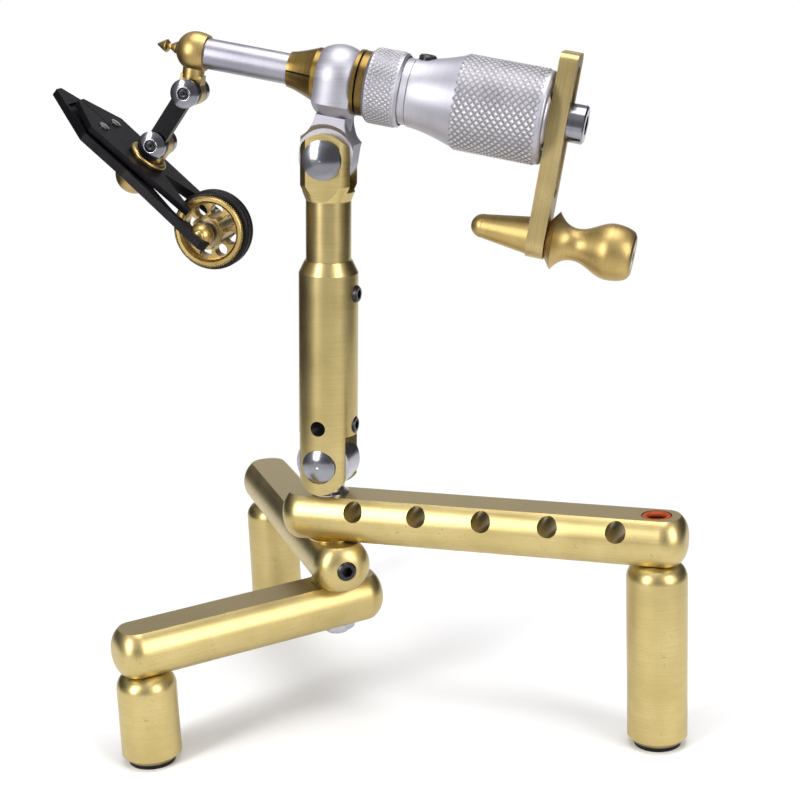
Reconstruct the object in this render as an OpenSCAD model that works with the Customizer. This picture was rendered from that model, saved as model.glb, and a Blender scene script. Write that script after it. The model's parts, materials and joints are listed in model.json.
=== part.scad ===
// Rotary fly tying vise on a fold-out base of three bars, each with its own leg.
// Millimetres, +Z up. The shaft lies in the XZ plane with its crank towards +X.
// The origin is at table level, under the middle of the whole vise.

/* [Pose at rest] */
// Direction of the top bar about the base bolt
top_bar_az = -6; // [-12:1:12]
// Direction of the middle bar about the base bolt
mid_bar_az = 121.5; // [105:0.5:140]
// Direction of the low bar about the base bolt
low_bar_az = -135.5; // [-150:0.5:-120]
// Lean of the stem on its knuckle pin, towards the crank
stem_lean = 3.2; // [-5:0.1:8]
// Tilt of the head on the clevis pin, crank end down
head_tilt = 8.5; // [0:0.1:16]
// Swing of the link from square to the arm tube
link_swing = 25.8; // [15:0.1:35]
// Swing of the jaws from square to the link
jaw_swing = 5; // [-5:0.1:15]

/* [Base] */
// Diameter of the round bars and legs
bar_dia = 16; // [14:0.5:20]
// Height of a bar between its two flats
bar_height = 12.4; // [11:0.1:14]
// Rounding of the bar ends
bar_end_round = 6; // [3:0.5:6.5]
// Distance from the base bolt to the leg of the top bar
top_reach = 91; // [84:1:110]
// Room between one leg and the next bar when the base is folded
fold_gap = 0.4; // [0.3:0.1:2]
// Length of a bar behind the base bolt
bar_tail = 13.3; // [11:0.1:16]
// Height of the low bar's underside above the table
low_bar_z = 26; // [20:1:40]
// Thickness of the washers between the bars
bar_washer_t = 0.35; // [0.3:0.05:0.6]
// Diameter of the washers between the bars
bar_washer_dia = 13.5; // [10:0.5:15]
// Diameter of the base bolt
base_bolt_dia = 6; // [5:0.5:7]
// Diameter of the nut under the base
base_nut_dia = 10; // [8.5:0.5:12]
// Height of the nut under the base
base_nut_h = 3; // [2:0.5:5]
// Rounding of a leg's shoulder
leg_shoulder = 4.6; // [3:0.2:5.5]
// Chamfer at a leg's lower end
leg_chamfer = 1.5; // [0.5:0.1:2]
// Diameter of the threaded spigot on a leg
leg_spigot_dia = 6; // [5:0.5:7]
// Length of the threaded spigot on a leg
leg_spigot_len = 5; // [4:0.2:5.4]
// Thickness of the rubber foot below the leg
foot_drop = 1.2; // [0.8:0.1:2]
// Diameter of the rubber foot
foot_dia = 13; // [10:0.5:14]
// Depth of the rubber foot inside the leg
foot_inset = 1; // [0.6:0.1:2]
// Number of tool holes in the side of the top bar
tool_hole_count = 5; // [3:1:5]
// Diameter of a tool hole
tool_hole_dia = 5.4; // [4:0.1:5.6]
// Distance from the base bolt to the first tool hole
tool_hole_start = 9.3; // [8.5:0.1:10]
// Distance from one tool hole to the next
tool_hole_pitch = 18.1; // [15:0.1:18.4]
// Depth of the tool holes' centres below the bar's upper flat
tool_hole_drop = 3.1; // [3:0.1:5]
// Diameter of the accessory socket above the top bar's leg
socket_dia = 8; // [7:0.1:9]
// Diameter of the accessory socket's bore
socket_bore_dia = 4.6; // [3.5:0.1:4.8]
// Depth of the accessory socket's bore
socket_depth = 6; // [4:0.1:6.2]
// Thickness of the O-ring in the accessory socket
socket_ring_t = 1.5; // [1:0.1:1.8]
// Diameter of the set screw in the middle bar's end
bar_screw_dia = 5.4; // [4:0.1:6]
// Length of the set screw in the middle bar's end
bar_screw_len = 5; // [4:0.5:6]

/* [Stem] */
// Height of the knuckle pin above the top bar
knuckle_rise = 9.3; // [9.1:0.1:11]
// Radius of the tongue on the stem foot
knuckle_tongue_r = 7.6; // [6.5:0.1:7.8]
// Width of the tongue on the stem foot
knuckle_tongue_w = 8.6; // [6:0.1:9]
// Diameter of the stem foot's seat on the bar
seat_dia = 10.4; // [9.6:0.1:12]
// Thickness of the seat's rim
seat_rim = 0.3; // [0.2:0.05:0.5]
// Height of the seat's cone
seat_cone = 0.6; // [0.3:0.1:0.8]
// Diameter of the stem foot's neck above the seat
seat_neck_dia = 8.2; // [7:0.1:8.5]
// Outer diameter of the sleeve
sleeve_dia = 16; // [15:0.5:18]
// Length of the sleeve above the knuckle pin
sleeve_len = 55.9; // [50:0.1:70]
// Height of the cone at the sleeve's upper end
sleeve_cone = 3.3; // [1:0.1:5]
// Depth of the sleeve's fork above the knuckle pin
sleeve_fork_depth = 8.2; // [8:0.1:10]
// Diameter of the knuckle pin
knuckle_pin_dia = 5; // [4:0.5:6]
// Diameter of the knuckle pin's heads
knuckle_head_dia = 9.4; // [8:0.1:10.5]
// Thickness of the knuckle pin's heads
knuckle_head_t = 1.9; // [1.4:0.1:2.5]
// Distance from the stem's axis to the seats of the knuckle pin's heads
knuckle_seat = 6.3; // [5.8:0.1:7]
// Diameter of the sleeve's set screws
sleeve_screw_dia = 4.6; // [4:0.1:4.8]
// Height of the lower set screw above the knuckle pin
low_screw_s = 10.9; // [11:0.1:13]
// Height of the upper set screw above the knuckle pin
high_screw_s = 47.2; // [40:0.1:49]
// How far the upper set screw stands out
high_screw_out = 0.8; // [0:0.1:2]
// How far the lower set screw stands out
low_screw_out = 0.3; // [0:0.1:2]
// Diameter of the open threaded hole at the sleeve's front
open_hole_dia = 4.2; // [3:0.1:5]
// Diameter of the post
post_dia = 12.1; // [11:0.1:13]
// Height of the post's lower end above the knuckle pin
post_start = 8.6; // [8.4:0.1:9.5]
// Distance from the knuckle pin to the clevis pin
pin_span = 83.2; // [76:0.1:100]
// Diameter of the clevis on the post
clevis_dia = 15.4; // [14.5:0.1:17]
// Depth of the clevis's straight part below its pin
clevis_drop = 7.1; // [7:0.1:10]
// Height of the cone under the clevis
clevis_cone = 4.2; // [2:0.1:6]
// Drop of the centre of the clevis's rounded top below its pin
clevis_round_drop = 1; // [0.5:0.1:2]
// Distance across the clevis's flats
clevis_flats = 12.3; // [12.2:0.1:13]
// Width of the head's tongue in the clevis
head_tongue_w = 7.2; // [5:0.1:7.4]
// Radius of the head's tongue
head_tongue_r = 7.2; // [6:0.1:7.4]
// Depth of the clevis slot below its pin
clevis_slot_depth = 8.8; // [8:0.1:11]
// Diameter of the clevis pin
clevis_pin_dia = 6; // [5:0.5:7]
// Diameter of the clevis pin's domed heads
clevis_head_dia = 10.4; // [9:0.1:11.5]
// Thickness of the clevis pin's heads
clevis_head_t = 2; // [1.4:0.1:3]

/* [Head] */
// Height of the shaft's axis above the clevis pin
shaft_rise = 20.6; // [19.5:0.1:25]
// Length of the head block along the shaft
block_len = 9.8; // [8:0.1:12]
// Radius of the head block's round body and its domed top
block_r = 8.8; // [8.6:0.1:10]
// Height above the clevis pin at which the round body begins to narrow
block_low_z = 14.4; // [13:0.1:15]
// Radius of the neck under the round body
neck_r = 4.8; // [4.2:0.1:5.2]
// Height of the neck's upper end above the clevis pin
neck_top_z = 11.2; // [10:0.1:12]
// Radius about the clevis pin of the shoulders where the tongue begins
shoulder_r = 7.9; // [7.8:0.1:8.5]
// Half the length of the neck's waist along the shaft
waist_half = 4; // [3.5:0.1:4.6]
// Radius of the hollows that form the waist
waist_r = 8; // [6:0.1:10]
// Outer diameter of the bearing bush
bush_dia = 13; // [12:0.1:14]
// Diameter of the bush's flange
bush_flange_dia = 17; // [15:0.1:18]
// Thickness of the bush's flange
bush_flange_t = 0.9; // [0.6:0.1:1.5]
// Outer diameter of the spindle
spindle_dia = 11; // [10:0.1:11.5]
// Diameter of the arm tube
tube_dia = 8; // [6:0.1:8.6]
// Bore of the arm tube
tube_bore = 5; // [3:0.1:6]
// Diameter of the black drag ring
drag_ring_dia = 15.4; // [13:0.1:16.5]
// Thickness of the black drag ring
drag_ring_t = 0.4; // [0.3:0.1:1]
// Diameter of the drag washer
drag_washer_dia = 16.8; // [15:0.1:18]
// Thickness of the drag washer
drag_washer_t = 1.7; // [1:0.1:3]
// Diameter of the drag nut
nut_dia = 19.1; // [18.9:0.1:20.4]
// Length of the drag nut
nut_len = 9.7; // [8:0.1:14]
// Bevel at the drag nut's edges
nut_bevel = 0.9; // [0.4:0.1:1.5]
// Diameter of the recess in the drag nut's outer end
nut_recess_dia = 17.9; // [17.6:0.1:18]
// Depth of the recess in the drag nut's outer end
nut_recess = 1.4; // [1:0.1:3]

/* [Drum] */
// Diameter of the drum's neck
drum_neck_dia = 17.1; // [14:0.1:17.2]
// Length of the drum's neck outside the drag nut
drum_neck_len = 1.6; // [1:0.1:4]
// Diameter of the groove after the neck
drum_groove_dia = 16.4; // [13:0.1:17]
// Width of the groove after the neck
drum_groove_w = 0.3; // [0.2:0.1:0.8]
// Diameter of the small end of the drum's flare
flare_dia = 17.7; // [17:0.1:20]
// Length of the drum's flare
flare_len = 12.8; // [8:0.1:16]
// Power of the drum's flare curve
flare_power = 1.5; // [1:0.1:2.5]
// Diameter of the knurled drum
drum_dia = 23.9; // [22:0.1:30]
// Length of the knurled drum
drum_len = 22.8; // [15:0.1:30]
// Rounding of the drum's outer edge
drum_round = 0.9; // [0.4:0.1:2]
// Thickness of the drum's end wall
drum_wall = 6; // [4:0.1:8]
// Distance of the drum's set screw from the end of its neck
drum_screw_at = 4.3; // [3:0.1:6]
// Diameter of the drum's set screw
drum_screw_dia = 4.6; // [3:0.1:5]
// How far the drum's set screw stands out
drum_screw_out = 1; // [0:0.1:2]
// Diameter of the recess in the drum's end
drum_recess_dia = 20.4; // [19:0.1:21]
// Depth of the recess in the drum's end
drum_recess = 1.5; // [0.5:0.1:1.8]
// Diameter of the end cap
cap_dia = 16.6; // [14:0.1:20]
// Thickness of the end cap
cap_t = 2; // [1.5:0.1:4]
// Rounding of the end cap
cap_round = 1.2; // [0.4:0.1:1.4]

/* [Crank] */
// Diameter of the crank bolt's shank
crank_bolt_dia = 6; // [5:0.1:6.5]
// Diameter of the crank bolt's head
crank_head_dia = 9.9; // [8:0.1:11]
// Height of the crank bolt's head
crank_head_h = 4.4; // [3:0.1:6]
// Depth of the crank bolt in the drum's end wall
crank_bolt_grip = 4.5; // [3:0.1:5.5]
// Thickness of the crank arm
crank_t = 4.6; // [3:0.1:5]
// Width of the crank arm
crank_w = 10.8; // [9.5:0.1:12]
// Distance from the shaft to the knob's axis
crank_radius = 30.3; // [29:0.1:40]
// Length of the crank arm beyond the shaft
crank_top = 17.2; // [16:0.1:24]
// Rounding of the crank arm's upper corners
crank_corner = 2.6; // [1:0.1:4]
// Start of the crank arm's slot beyond the shaft
slot_top = 14.2; // [12:0.1:15]
// End of the crank arm's slot on the knob's side
slot_bottom = 19.5; // [17:0.1:22]
// Length of the tapered peg
peg_len = 15.5; // [12:0.1:18]
// Diameter of the peg at the arm
peg_dia = 9.8; // [8:0.1:10.2]
// Diameter of the peg at its tip
peg_tip_dia = 6.2; // [5:0.1:7.5]
// Diameter of the knob's axle
knob_axle_dia = 5; // [4:0.1:5.5]
// Depth of the knob's axle in the peg
knob_axle_grip = 6; // [4:0.1:8]
// Diameter of the knob at the arm
knob_foot_dia = 9.6; // [8:0.1:11]
// Diameter of the knob's sharp rim
knob_rim_dia = 15; // [13:0.1:17]
// Distance from the knob's foot to its rim
knob_rim_at = 2; // [1:0.1:4]
// Diameter of the knob's waist
knob_waist_dia = 8.4; // [7.4:0.1:10]
// Distance from the knob's foot to its waist
knob_waist_at = 7.4; // [6:0.1:9]
// Diameter of the knob's bulb
knob_bulb_dia = 14.6; // [12:0.1:18]
// Distance from the knob's foot to the widest place of its bulb
knob_bulb_at = 16.6; // [14:0.1:20]
// Length of the knob
knob_len = 22.4; // [21:0.1:28]
// Diameter of the knob's outer end
knob_end_dia = 10; // [9.6:0.1:11]
// Diameter of the recess in the knob's outer end
knob_recess_dia = 7.8; // [7:0.1:8.6]
// Depth of the recess in the knob's outer end
knob_recess = 1.8; // [1:0.1:3]

/* [Arm and link] */
// Diameter of the collet's small end
collet_dia = 9.2; // [8.8:0.1:10]
// Diameter of the collet's wide end
collet_wide_dia = 14; // [13:0.1:16]
// Length of the collet
collet_len = 8.5; // [7:0.1:12]
// Width of the collet's slits
slit_w = 0.5; // [0.3:0.1:0.8]
// Thickness of the solid rim at the collet's wide end
collet_rim = 1.2; // [0.8:0.1:2]
// Length of the arm tube between the collet and the ball end
tube_show = 23; // [20:0.1:30]
// Length of the arm tube inside the spindle
tube_inside = 18; // [16:0.1:24]
// Diameter of the ball end
ball_dia = 10.4; // [9.6:0.1:13]
// Distance from the ball's centre to its face on the tube
ball_face = 3.2; // [2.6:0.1:3.6]
// Diameter of the ball end's face on the tube
ball_face_dia = 9.4; // [8.8:0.1:10]
// Depth of the tube in the ball end
ball_socket = 4; // [2:0.1:4.4]
// Diameter of the neck under the ball
ball_neck_dia = 5.8; // [4.5:0.1:6.2]
// Drop of the upper joint below the tube's axis
joint_drop = 10.7; // [10:0.1:13]
// Diameter of the lugs at the joints
lug_dia = 7.2; // [6:0.1:7.6]
// Thickness of the lugs at the joints
lug_t = 3.8; // [2.5:0.1:4]
// Length of the barbed finial
finial_len = 5.6; // [4:0.1:7]
// Diameter of the finial's barb
finial_dia = 3.5; // [2.5:0.1:4]
// Diameter of the joint bolts
joint_bolt_dia = 4; // [3:0.1:4.4]
// Diameter of the joint bolts' heads
joint_head_dia = 7.7; // [6:0.1:8.4]
// Thickness of the joint bolts' heads
joint_head_t = 1.9; // [1.2:0.1:2.5]
// Diameter of the joints' black washers
joint_washer_dia = 7.2; // [5.5:0.1:7.6]
// Thickness of the joints' black washers
joint_washer_t = 0.6; // [0.4:0.1:1]
// Diameter of the joints' nuts
joint_nut_dia = 6.8; // [5.5:0.1:7.6]
// Thickness of the joints' nuts
joint_nut_t = 2.4; // [1.6:0.1:3]
// Length of the link between its pivots
link_len = 17; // [14:0.1:24]
// Thickness of the link
link_t = 2.4; // [1.4:0.1:3]
// Width of the link between its eyes
link_w = 4.8; // [3.5:0.1:6]
// Height of the lower joint above the jaw plate
mount_rise = 5.4; // [5:0.1:8]
// Diameter of the swivel mount's flange
flange_dia = 10; // [8:0.1:12]
// Thickness of the swivel mount's flange
flange_t = 0.8; // [0.6:0.1:2]
// Diameter of the swivel mount's stud
swivel_dia = 4; // [3:0.1:4.6]
// Diameter of the dome nut under the jaws
dome_dia = 10.4; // [8:0.1:11]
// Height of the dome nut under the jaws
dome_h = 6; // [3:0.1:7]
// Diameter of the dome nut's neck between the jaw arms
dome_neck_dia = 5.8; // [5.2:0.1:6.2]

/* [Jaws] */
// Length of the jaws from tip to rear end
jaw_len = 60; // [58:0.5:70]
// Distance from the tip to the jaw plate's nose
nose_at = 6.6; // [5:0.1:8]
// Half the width of the jaw plate's nose
nose_half = 1.8; // [1:0.1:3]
// Distance from the tip to the shoulders
shoulder_at = 16; // [14:0.1:16.5]
// Half the width of the jaw plate at its shoulders
plate_half = 10.1; // [9:0.1:12]
// Distance from the tip to the ends of the plate's two tongues
plate_tail_at = 49.8; // [46:0.1:52]
// Half the width of the jaw plate at its tongues' ends
plate_tail_half = 8.5; // [8:0.1:10]
// Width of a tongue's blunt end
plate_tail_w = 1.7; // [1:0.1:3]
// Distance from the tip to the bottom of the plate's V notch
notch_at = 37.4; // [35.6:0.1:40]
// Half the width of the V notch at its bottom
notch_half = 0.6; // [0.3:0.1:1]
// Thickness of the jaw plate
plate_t = 1.7; // [1.2:0.1:2.5]
// Gap between the jaw plate and the jaw arms
plate_gap = 0.2; // [0.1:0.05:0.4]
// Thickness of the jaw arms
jaw_arm_t = 2.4; // [2:0.1:4.5]
// Thickness of the jaw arms at their tips
jaw_tip_t = 2; // [1.5:0.1:3]
// Half the width of the closed tips
tip_half = 1.5; // [1:0.1:2.5]
// Half the gap between the closed tips
tip_gap = 0.05; // [0.03:0.01:0.1]
// Half the width over the jaw arms at their shoulders
arm_half = 11.9; // [11:0.1:13]
// Half the width over the jaw arms at their rear ends
arm_tail_half = 14; // [13.4:0.1:16]
// Width of a jaw arm beside the wheel
arm_w = 3.8; // [3.4:0.1:5]
// Depth of the recess in the jaw arms under the plate
arm_recess = 0.7; // [0.3:0.1:1]
// Width of the lip outside the recess in a jaw arm
arm_lip = 0.9; // [0.5:0.1:1.5]
// Distance from the tip to the fulcrum pins
pin_at = 17; // [16.5:0.1:20]
// Distance of a fulcrum pin from the mid-plane
pin_off = 3.9; // [3.2:0.1:6]
// Diameter of the fulcrum pins
fulcrum_dia = 2.2; // [1.6:0.1:2.6]
// Diameter of the fulcrum pins' heads
fulcrum_head_dia = 2.9; // [2:0.1:3.4]
// Height of the fulcrum pins' heads
fulcrum_head_h = 0.5; // [0.3:0.1:1]
// Width of the slit in the jaw plate's nose
nose_slit = 0.3; // [0.2:0.1:0.5]
// Distance from the tip to the swivel's axis
mount_at = 30.5; // [29:0.1:33]

/* [Wheel] */
// Distance from the wheel's axle to the jaws' rear end
axle_inset = 3.6; // [2.4:0.1:4]
// Diameter of the wheel's rims
wheel_dia = 18.8; // [17:0.1:20]
// Width of the wheel over its rims
wheel_w = 7.8; // [7.4:0.1:8.2]
// Width of the near rim
near_rim_w = 1.6; // [1:0.1:2]
// Diameter of the O-rings' section
tyre_t = 2.5; // [2:0.1:2.6]
// How far the O-rings stand out of the rims
tyre_out = 1.3; // [0.6:0.1:1.4]
// Thickness of the wheel's web
web_t = 3.6; // [2:0.1:4.5]
// Inner diameter of the wheel's rims beside the web
rim_inner_dia = 15.4; // [15:0.1:15.6]
// Inner diameter of the wheel's rims at their faces
rim_face_dia = 16.6; // [15.6:0.1:17.4]
// Rounding of the rims' outer edges
rim_edge = 0.3; // [0.1:0.1:0.5]
// Number of round holes in the web
web_holes = 8; // [6:1:8]
// Diameter of the holes in the web
web_hole_dia = 3.5; // [2.5:0.1:3.6]
// Radius of the ring of holes in the web
web_hole_r = 5.8; // [5.6:0.1:5.8]
// Diameter of the wheel's fluted hub
hub_dia = 9.2; // [8:0.1:9.6]
// Distance from the mid-plane to the hub's end
hub_end = 5.2; // [4.8:0.1:5.4]
// Diameter of the axle
axle_dia = 3; // [2:0.1:3.4]
// Diameter of the axle's collars
collar_dia = 7.3; // [5:0.1:8]
// Thickness of the axle's collars
collar_t = 0.6; // [0.4:0.1:1]
// How far the axle reaches past the ball nuts' centres
axle_past = 1.6; // [0.5:0.1:1.7]
// Diameter of the screw in a ball nut's top
nut_screw_dia = 1.9; // [1.4:0.1:2.2]
// Diameter of the ball nuts
ball_nut_dia = 6.8; // [6:0.1:7.4]
// Distance from the mid-plane to a ball nut's centre
ball_nut_at = 9.4; // [9.2:0.1:10]
// Distance from the mid-plane to a ball nut's flat face
ball_nut_face = 7.3; // [7.1:0.1:7.6]

/* [Fits] */
// Radial clearance of a shaft that turns or slides in a bore
fit = 0.05; // [0.03:0.01:0.09]
// Gap between flat faces that slide on each other
slip = 0.05; // [0.03:0.01:0.1]
// Side clearance of a tongue in its fork
fork_play = 0.1; // [0.06:0.01:0.15]
// Gap between neighbours that turn past each other
turn_gap = 0.1; // [0.06:0.01:0.3]
// Clearance of the ball nuts round the axle
nut_play = 0.3; // [0.2:0.05:0.4]

/* [Hidden] */
$fn = 96;

// One overrun serves all cuts
over = 1;
brass = "#C2A85E";
antique = "#8E7434";
silver = "#B9B9C2";
steel = "#9A9AA2";
black = "#1E1B1F";
red_rubber = "#A0421C";

// Base levels
bar_r = bar_dia / 2;
stack = bar_height + bar_washer_t + slip;
mid_bar_z = low_bar_z + stack;
top_bar_z = mid_bar_z + stack;
deck_z = top_bar_z + bar_height;
mid_reach = top_reach - bar_dia - fold_gap;
low_reach = mid_reach - bar_dia - fold_gap;
knuckle_z = deck_z + knuckle_rise;
base_bolt_top = knuckle_z - knuckle_pin_dia / 2 - over;

// Places along the shaft, measured from the clevis pin's foot
block_face = block_len / 2;
flange_end = block_face + bush_flange_t;
drag_ring_at = flange_end + slip;
drag_washer_at = drag_ring_at + drag_ring_t + slip;
nut_at = drag_washer_at + drag_washer_t + turn_gap;
nut_end = nut_at + nut_len;
neck_at = nut_end - nut_recess + turn_gap;
groove_at = nut_end + drum_neck_len;
flare_at = groove_at + drum_groove_w;
drum_at = flare_at + flare_len;
drum_end = drum_at + drum_len;
cap_at = drum_end - drum_recess;
crank_at = cap_at + cap_t + slip;
crank_out = crank_at + crank_t;
knob_at = crank_out + turn_gap;
knob_end = knob_at + knob_len;
drum_bore_end = drum_end - drum_wall;
spindle_end = drum_bore_end - slip;
collet_wide_at = -block_face - turn_gap;
collet_at = collet_wide_at - collet_len;
spindle_at = collet_wide_at - collet_rim * 2;
ball_at = collet_at - tube_show - ball_face;
joint_at = ball_at;

// Layers of the jaws below the plate's upper face
arm_top = plate_t + plate_gap;
arm_bottom = arm_top + jaw_arm_t;
axle_drop = arm_top + jaw_arm_t / 4;
axle_at = jaw_len - axle_inset;
dome_top = arm_bottom + 3 * plate_gap;
inner_half = arm_tail_half - arm_w;

// Turning matrices and the places that follow from the pose
function turn_y(a) = [[cos(a), 0, sin(a)], [0, 1, 0], [-sin(a), 0, cos(a)]];
function turn_z(a) = [[cos(a), -sin(a), 0], [sin(a), cos(a), 0], [0, 0, 1]];
stem_turn = turn_z(top_bar_az) * turn_y(stem_lean) * turn_z(-top_bar_az);
head_turn = stem_turn * turn_y(head_tilt);
link_turn = head_turn * turn_y(link_swing);
jaw_turn = link_turn * turn_y(jaw_swing);
clevis_spot = [0, 0, knuckle_z] + stem_turn * [0, 0, pin_span];
upper_spot = clevis_spot + head_turn * [joint_at, 0, shaft_rise - joint_drop];
lower_spot = upper_spot + link_turn * [0, 0, -link_len];
tip_spot = lower_spot + jaw_turn * [-mount_at, 0, -mount_rise - arm_top - jaw_tip_t];

// Reach of a bar's rounded end in a direction that is turned by a from the bar
function end_reach(reach, a) = (reach + bar_r - bar_end_round) * cos(a)
    + (bar_r - bar_end_round) * abs(sin(a)) + bar_end_round;
x_high = end_reach(top_reach, top_bar_az);
x_low = tip_spot[0];
y_high = end_reach(mid_reach, 90 - mid_bar_az);
y_low = -end_reach(low_reach, 90 + low_bar_az);
origin = [(x_high + x_low) / 2, (y_high + y_low) / 2, 0];

// Frames of the assembly
module in_base() {
    translate(-origin) children();
}

module along_bar(az, z) {
    in_base() translate([0, 0, z]) rotate([0, 0, az]) children();
}

// Origin on the knuckle pin, Z up the stem, X over the top bar
module on_stem() {
    along_bar(top_bar_az, knuckle_z) rotate([0, stem_lean, 0]) children();
}

// Origin on the clevis pin, Z up the stem, X in the shaft's plane
module on_clevis() {
    on_stem() rotate([0, 0, -top_bar_az]) translate([0, 0, pin_span]) children();
}

module on_head() {
    on_clevis() rotate([0, head_tilt, 0]) children();
}

// Z along the shaft towards the crank, X down
module on_shaft() {
    on_head() translate([0, 0, shaft_rise]) rotate([0, 90, 0]) children();
}

module on_upper_joint() {
    on_head() translate([joint_at, 0, shaft_rise - joint_drop]) children();
}

// Z up the link, from the upper pivot
module on_link() {
    on_upper_joint() rotate([0, link_swing, 0]) children();
}

module on_lower_joint() {
    on_link() translate([0, 0, -link_len]) rotate([0, jaw_swing, 0]) children();
}

// Origin at the tip, level with the jaw plate's upper face, X towards the rear
module on_jaws() {
    on_lower_joint() translate([-mount_at, 0, -mount_rise]) children();
}

// Round shapes that several pieces share
module rod_y(r, from, to) {
    translate([0, from, 0]) rotate([-90, 0, 0]) cylinder(r = r, h = to - from);
}

module ring(r, bore, h) {
    difference() {
        cylinder(r = r, h = h);
        translate([0, 0, -over]) cylinder(r = bore, h = h + 2 * over);
    }
}

// Disc of height h whose upper face is a dome that falls by half the height at the edge
module domed_disc(r, h) {
    fall = h / 2;
    dome_r = (r * r + fall * fall) / (2 * fall);
    intersection() {
        cylinder(r = r, h = h);
        translate([0, 0, h - dome_r]) sphere(r = dome_r);
    }
}

module hex_hole(across, depth) {
    rotate([0, 0, 30]) cylinder(d = across / cos(30), h = depth, $fn = 6);
}

// Threadless screw with a hex socket in its outer end, along Z
module grub_screw(d, len) {
    bevel = d / 10;
    difference() {
        rotate_extrude() polygon([[0, 0], [d / 2, 0], [d / 2, len - bevel], [d / 2 - bevel, len], [0, len]]);
        translate([0, 0, len / 2]) hex_hole(d / 2, len);
    }
}

// Base
module bar_rod(reach) {
    length = bar_tail + reach + bar_r;
    flat_r = bar_r - bar_end_round;
    intersection() {
        translate([-bar_tail, 0, bar_height / 2]) rotate([0, 90, 0]) rotate_extrude() {
            square([flat_r, length]);
            translate([0, bar_end_round]) square([bar_r, length - 2 * bar_end_round]);
            for (z = [bar_end_round, length - bar_end_round]) {
                intersection() {
                    translate([flat_r, z]) circle(r = bar_end_round);
                    translate([0, z - bar_end_round]) square([bar_r, 2 * bar_end_round]);
                }
            }
        }
        translate([-bar_tail - over, -bar_dia, 0]) cube([length + 2 * over, 2 * bar_dia, bar_height]);
    }
}

module bar_body(reach) {
    difference() {
        bar_rod(reach);
        translate([0, 0, -over]) cylinder(r = base_bolt_dia / 2 + fit, h = bar_height + 2 * over);
        translate([reach, 0, -over]) cylinder(r = leg_spigot_dia / 2 + fit, h = leg_spigot_len + slip + over);
    }
}

module top_bar() {
    color(brass) along_bar(top_bar_az, top_bar_z) difference() {
        bar_body(top_reach);
        for (i = [0 : tool_hole_count - 1]) {
            translate([tool_hole_start + i * tool_hole_pitch, 0, bar_height - tool_hole_drop])
                rod_y(tool_hole_dia / 2, -bar_dia, bar_dia);
        }
        translate([top_reach, 0, bar_height - socket_depth])
            cylinder(d = socket_bore_dia, h = socket_depth + over);
        translate([top_reach, 0, bar_height - socket_ring_t - slip])
            cylinder(d = socket_dia, h = socket_ring_t + slip + over);
    }
}

module middle_bar() {
    color(brass) along_bar(mid_bar_az, mid_bar_z) difference() {
        bar_body(mid_reach);
        translate([-bar_tail - over, 0, bar_height / 2]) rotate([0, 90, 0])
            cylinder(r = bar_screw_dia / 2 + fit, h = bar_screw_len + over + slip);
    }
}

module low_bar() {
    color(brass) along_bar(low_bar_az, low_bar_z) bar_body(low_reach);
}

module leg(az, reach, top) {
    base = foot_drop;
    shoulder_z = top - leg_shoulder;
    color(brass) along_bar(az, 0) translate([reach, 0, 0]) difference() {
        union() {
            rotate_extrude() {
                polygon([[0, base], [bar_r - leg_chamfer, base], [bar_r, base + leg_chamfer],
                    [bar_r, shoulder_z], [bar_r - leg_shoulder, top], [0, top]]);
                intersection() {
                    translate([bar_r - leg_shoulder, shoulder_z]) circle(r = leg_shoulder);
                    square([bar_r, top]);
                }
            }
            translate([0, 0, top - over]) cylinder(d = leg_spigot_dia, h = leg_spigot_len + over);
        }
        translate([0, 0, base - over]) cylinder(d = foot_dia - 2 * foot_drop, h = foot_inset + over);
    }
}

module foot(az, reach) {
    color(black) along_bar(az, 0) translate([reach, 0, 0]) {
        plug = foot_dia / 2 - foot_drop - fit;
        top = foot_drop + foot_inset - slip;
        rotate_extrude() polygon([[0, 0], [foot_dia / 2 - foot_drop / 4, 0], [foot_dia / 2, foot_drop],
            [plug, foot_drop], [plug, top], [0, top]]);
    }
}

module top_leg() {
    leg(top_bar_az, top_reach, top_bar_z);
}

module middle_leg() {
    leg(mid_bar_az, mid_reach, mid_bar_z);
}

module low_leg() {
    leg(low_bar_az, low_reach, low_bar_z);
}

module top_foot() {
    foot(top_bar_az, top_reach);
}

module middle_foot() {
    foot(mid_bar_az, mid_reach);
}

module low_foot() {
    foot(low_bar_az, low_reach);
}

module base_bolt() {
    color(steel) in_base() translate([0, 0, low_bar_z - base_nut_h])
        cylinder(d = base_bolt_dia, h = base_bolt_top - low_bar_z + base_nut_h);
}

module base_nut() {
    color(silver) in_base() translate([0, 0, low_bar_z - slip]) rotate([180, 0, 0]) difference() {
        domed_disc(base_nut_dia / 2, base_nut_h);
        translate([0, 0, -over]) cylinder(r = base_bolt_dia / 2 + fit, h = base_nut_h + 2 * over);
    }
}

module upper_bar_washer() {
    color(brass) in_base() translate([0, 0, top_bar_z - bar_washer_t])
        ring(bar_washer_dia / 2, base_bolt_dia / 2 + fit, bar_washer_t);
}

module lower_bar_washer() {
    color(brass) in_base() translate([0, 0, mid_bar_z - bar_washer_t])
        ring(bar_washer_dia / 2, base_bolt_dia / 2 + fit, bar_washer_t);
}

module bar_set_screw() {
    color(black) along_bar(mid_bar_az, mid_bar_z)
        translate([-bar_tail + bar_screw_len, 0, bar_height / 2]) rotate([0, -90, 0])
        grub_screw(bar_screw_dia, bar_screw_len + bar_screw_dia / 10);
}

module socket_ring() {
    ring_r = socket_dia / 2 - fit - socket_ring_t / 2;
    color(red_rubber) along_bar(top_bar_az, deck_z - socket_ring_t / 2) translate([top_reach, 0, 0])
        rotate_extrude() translate([ring_r, 0]) circle(d = socket_ring_t, $fn = 32);
}

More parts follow.
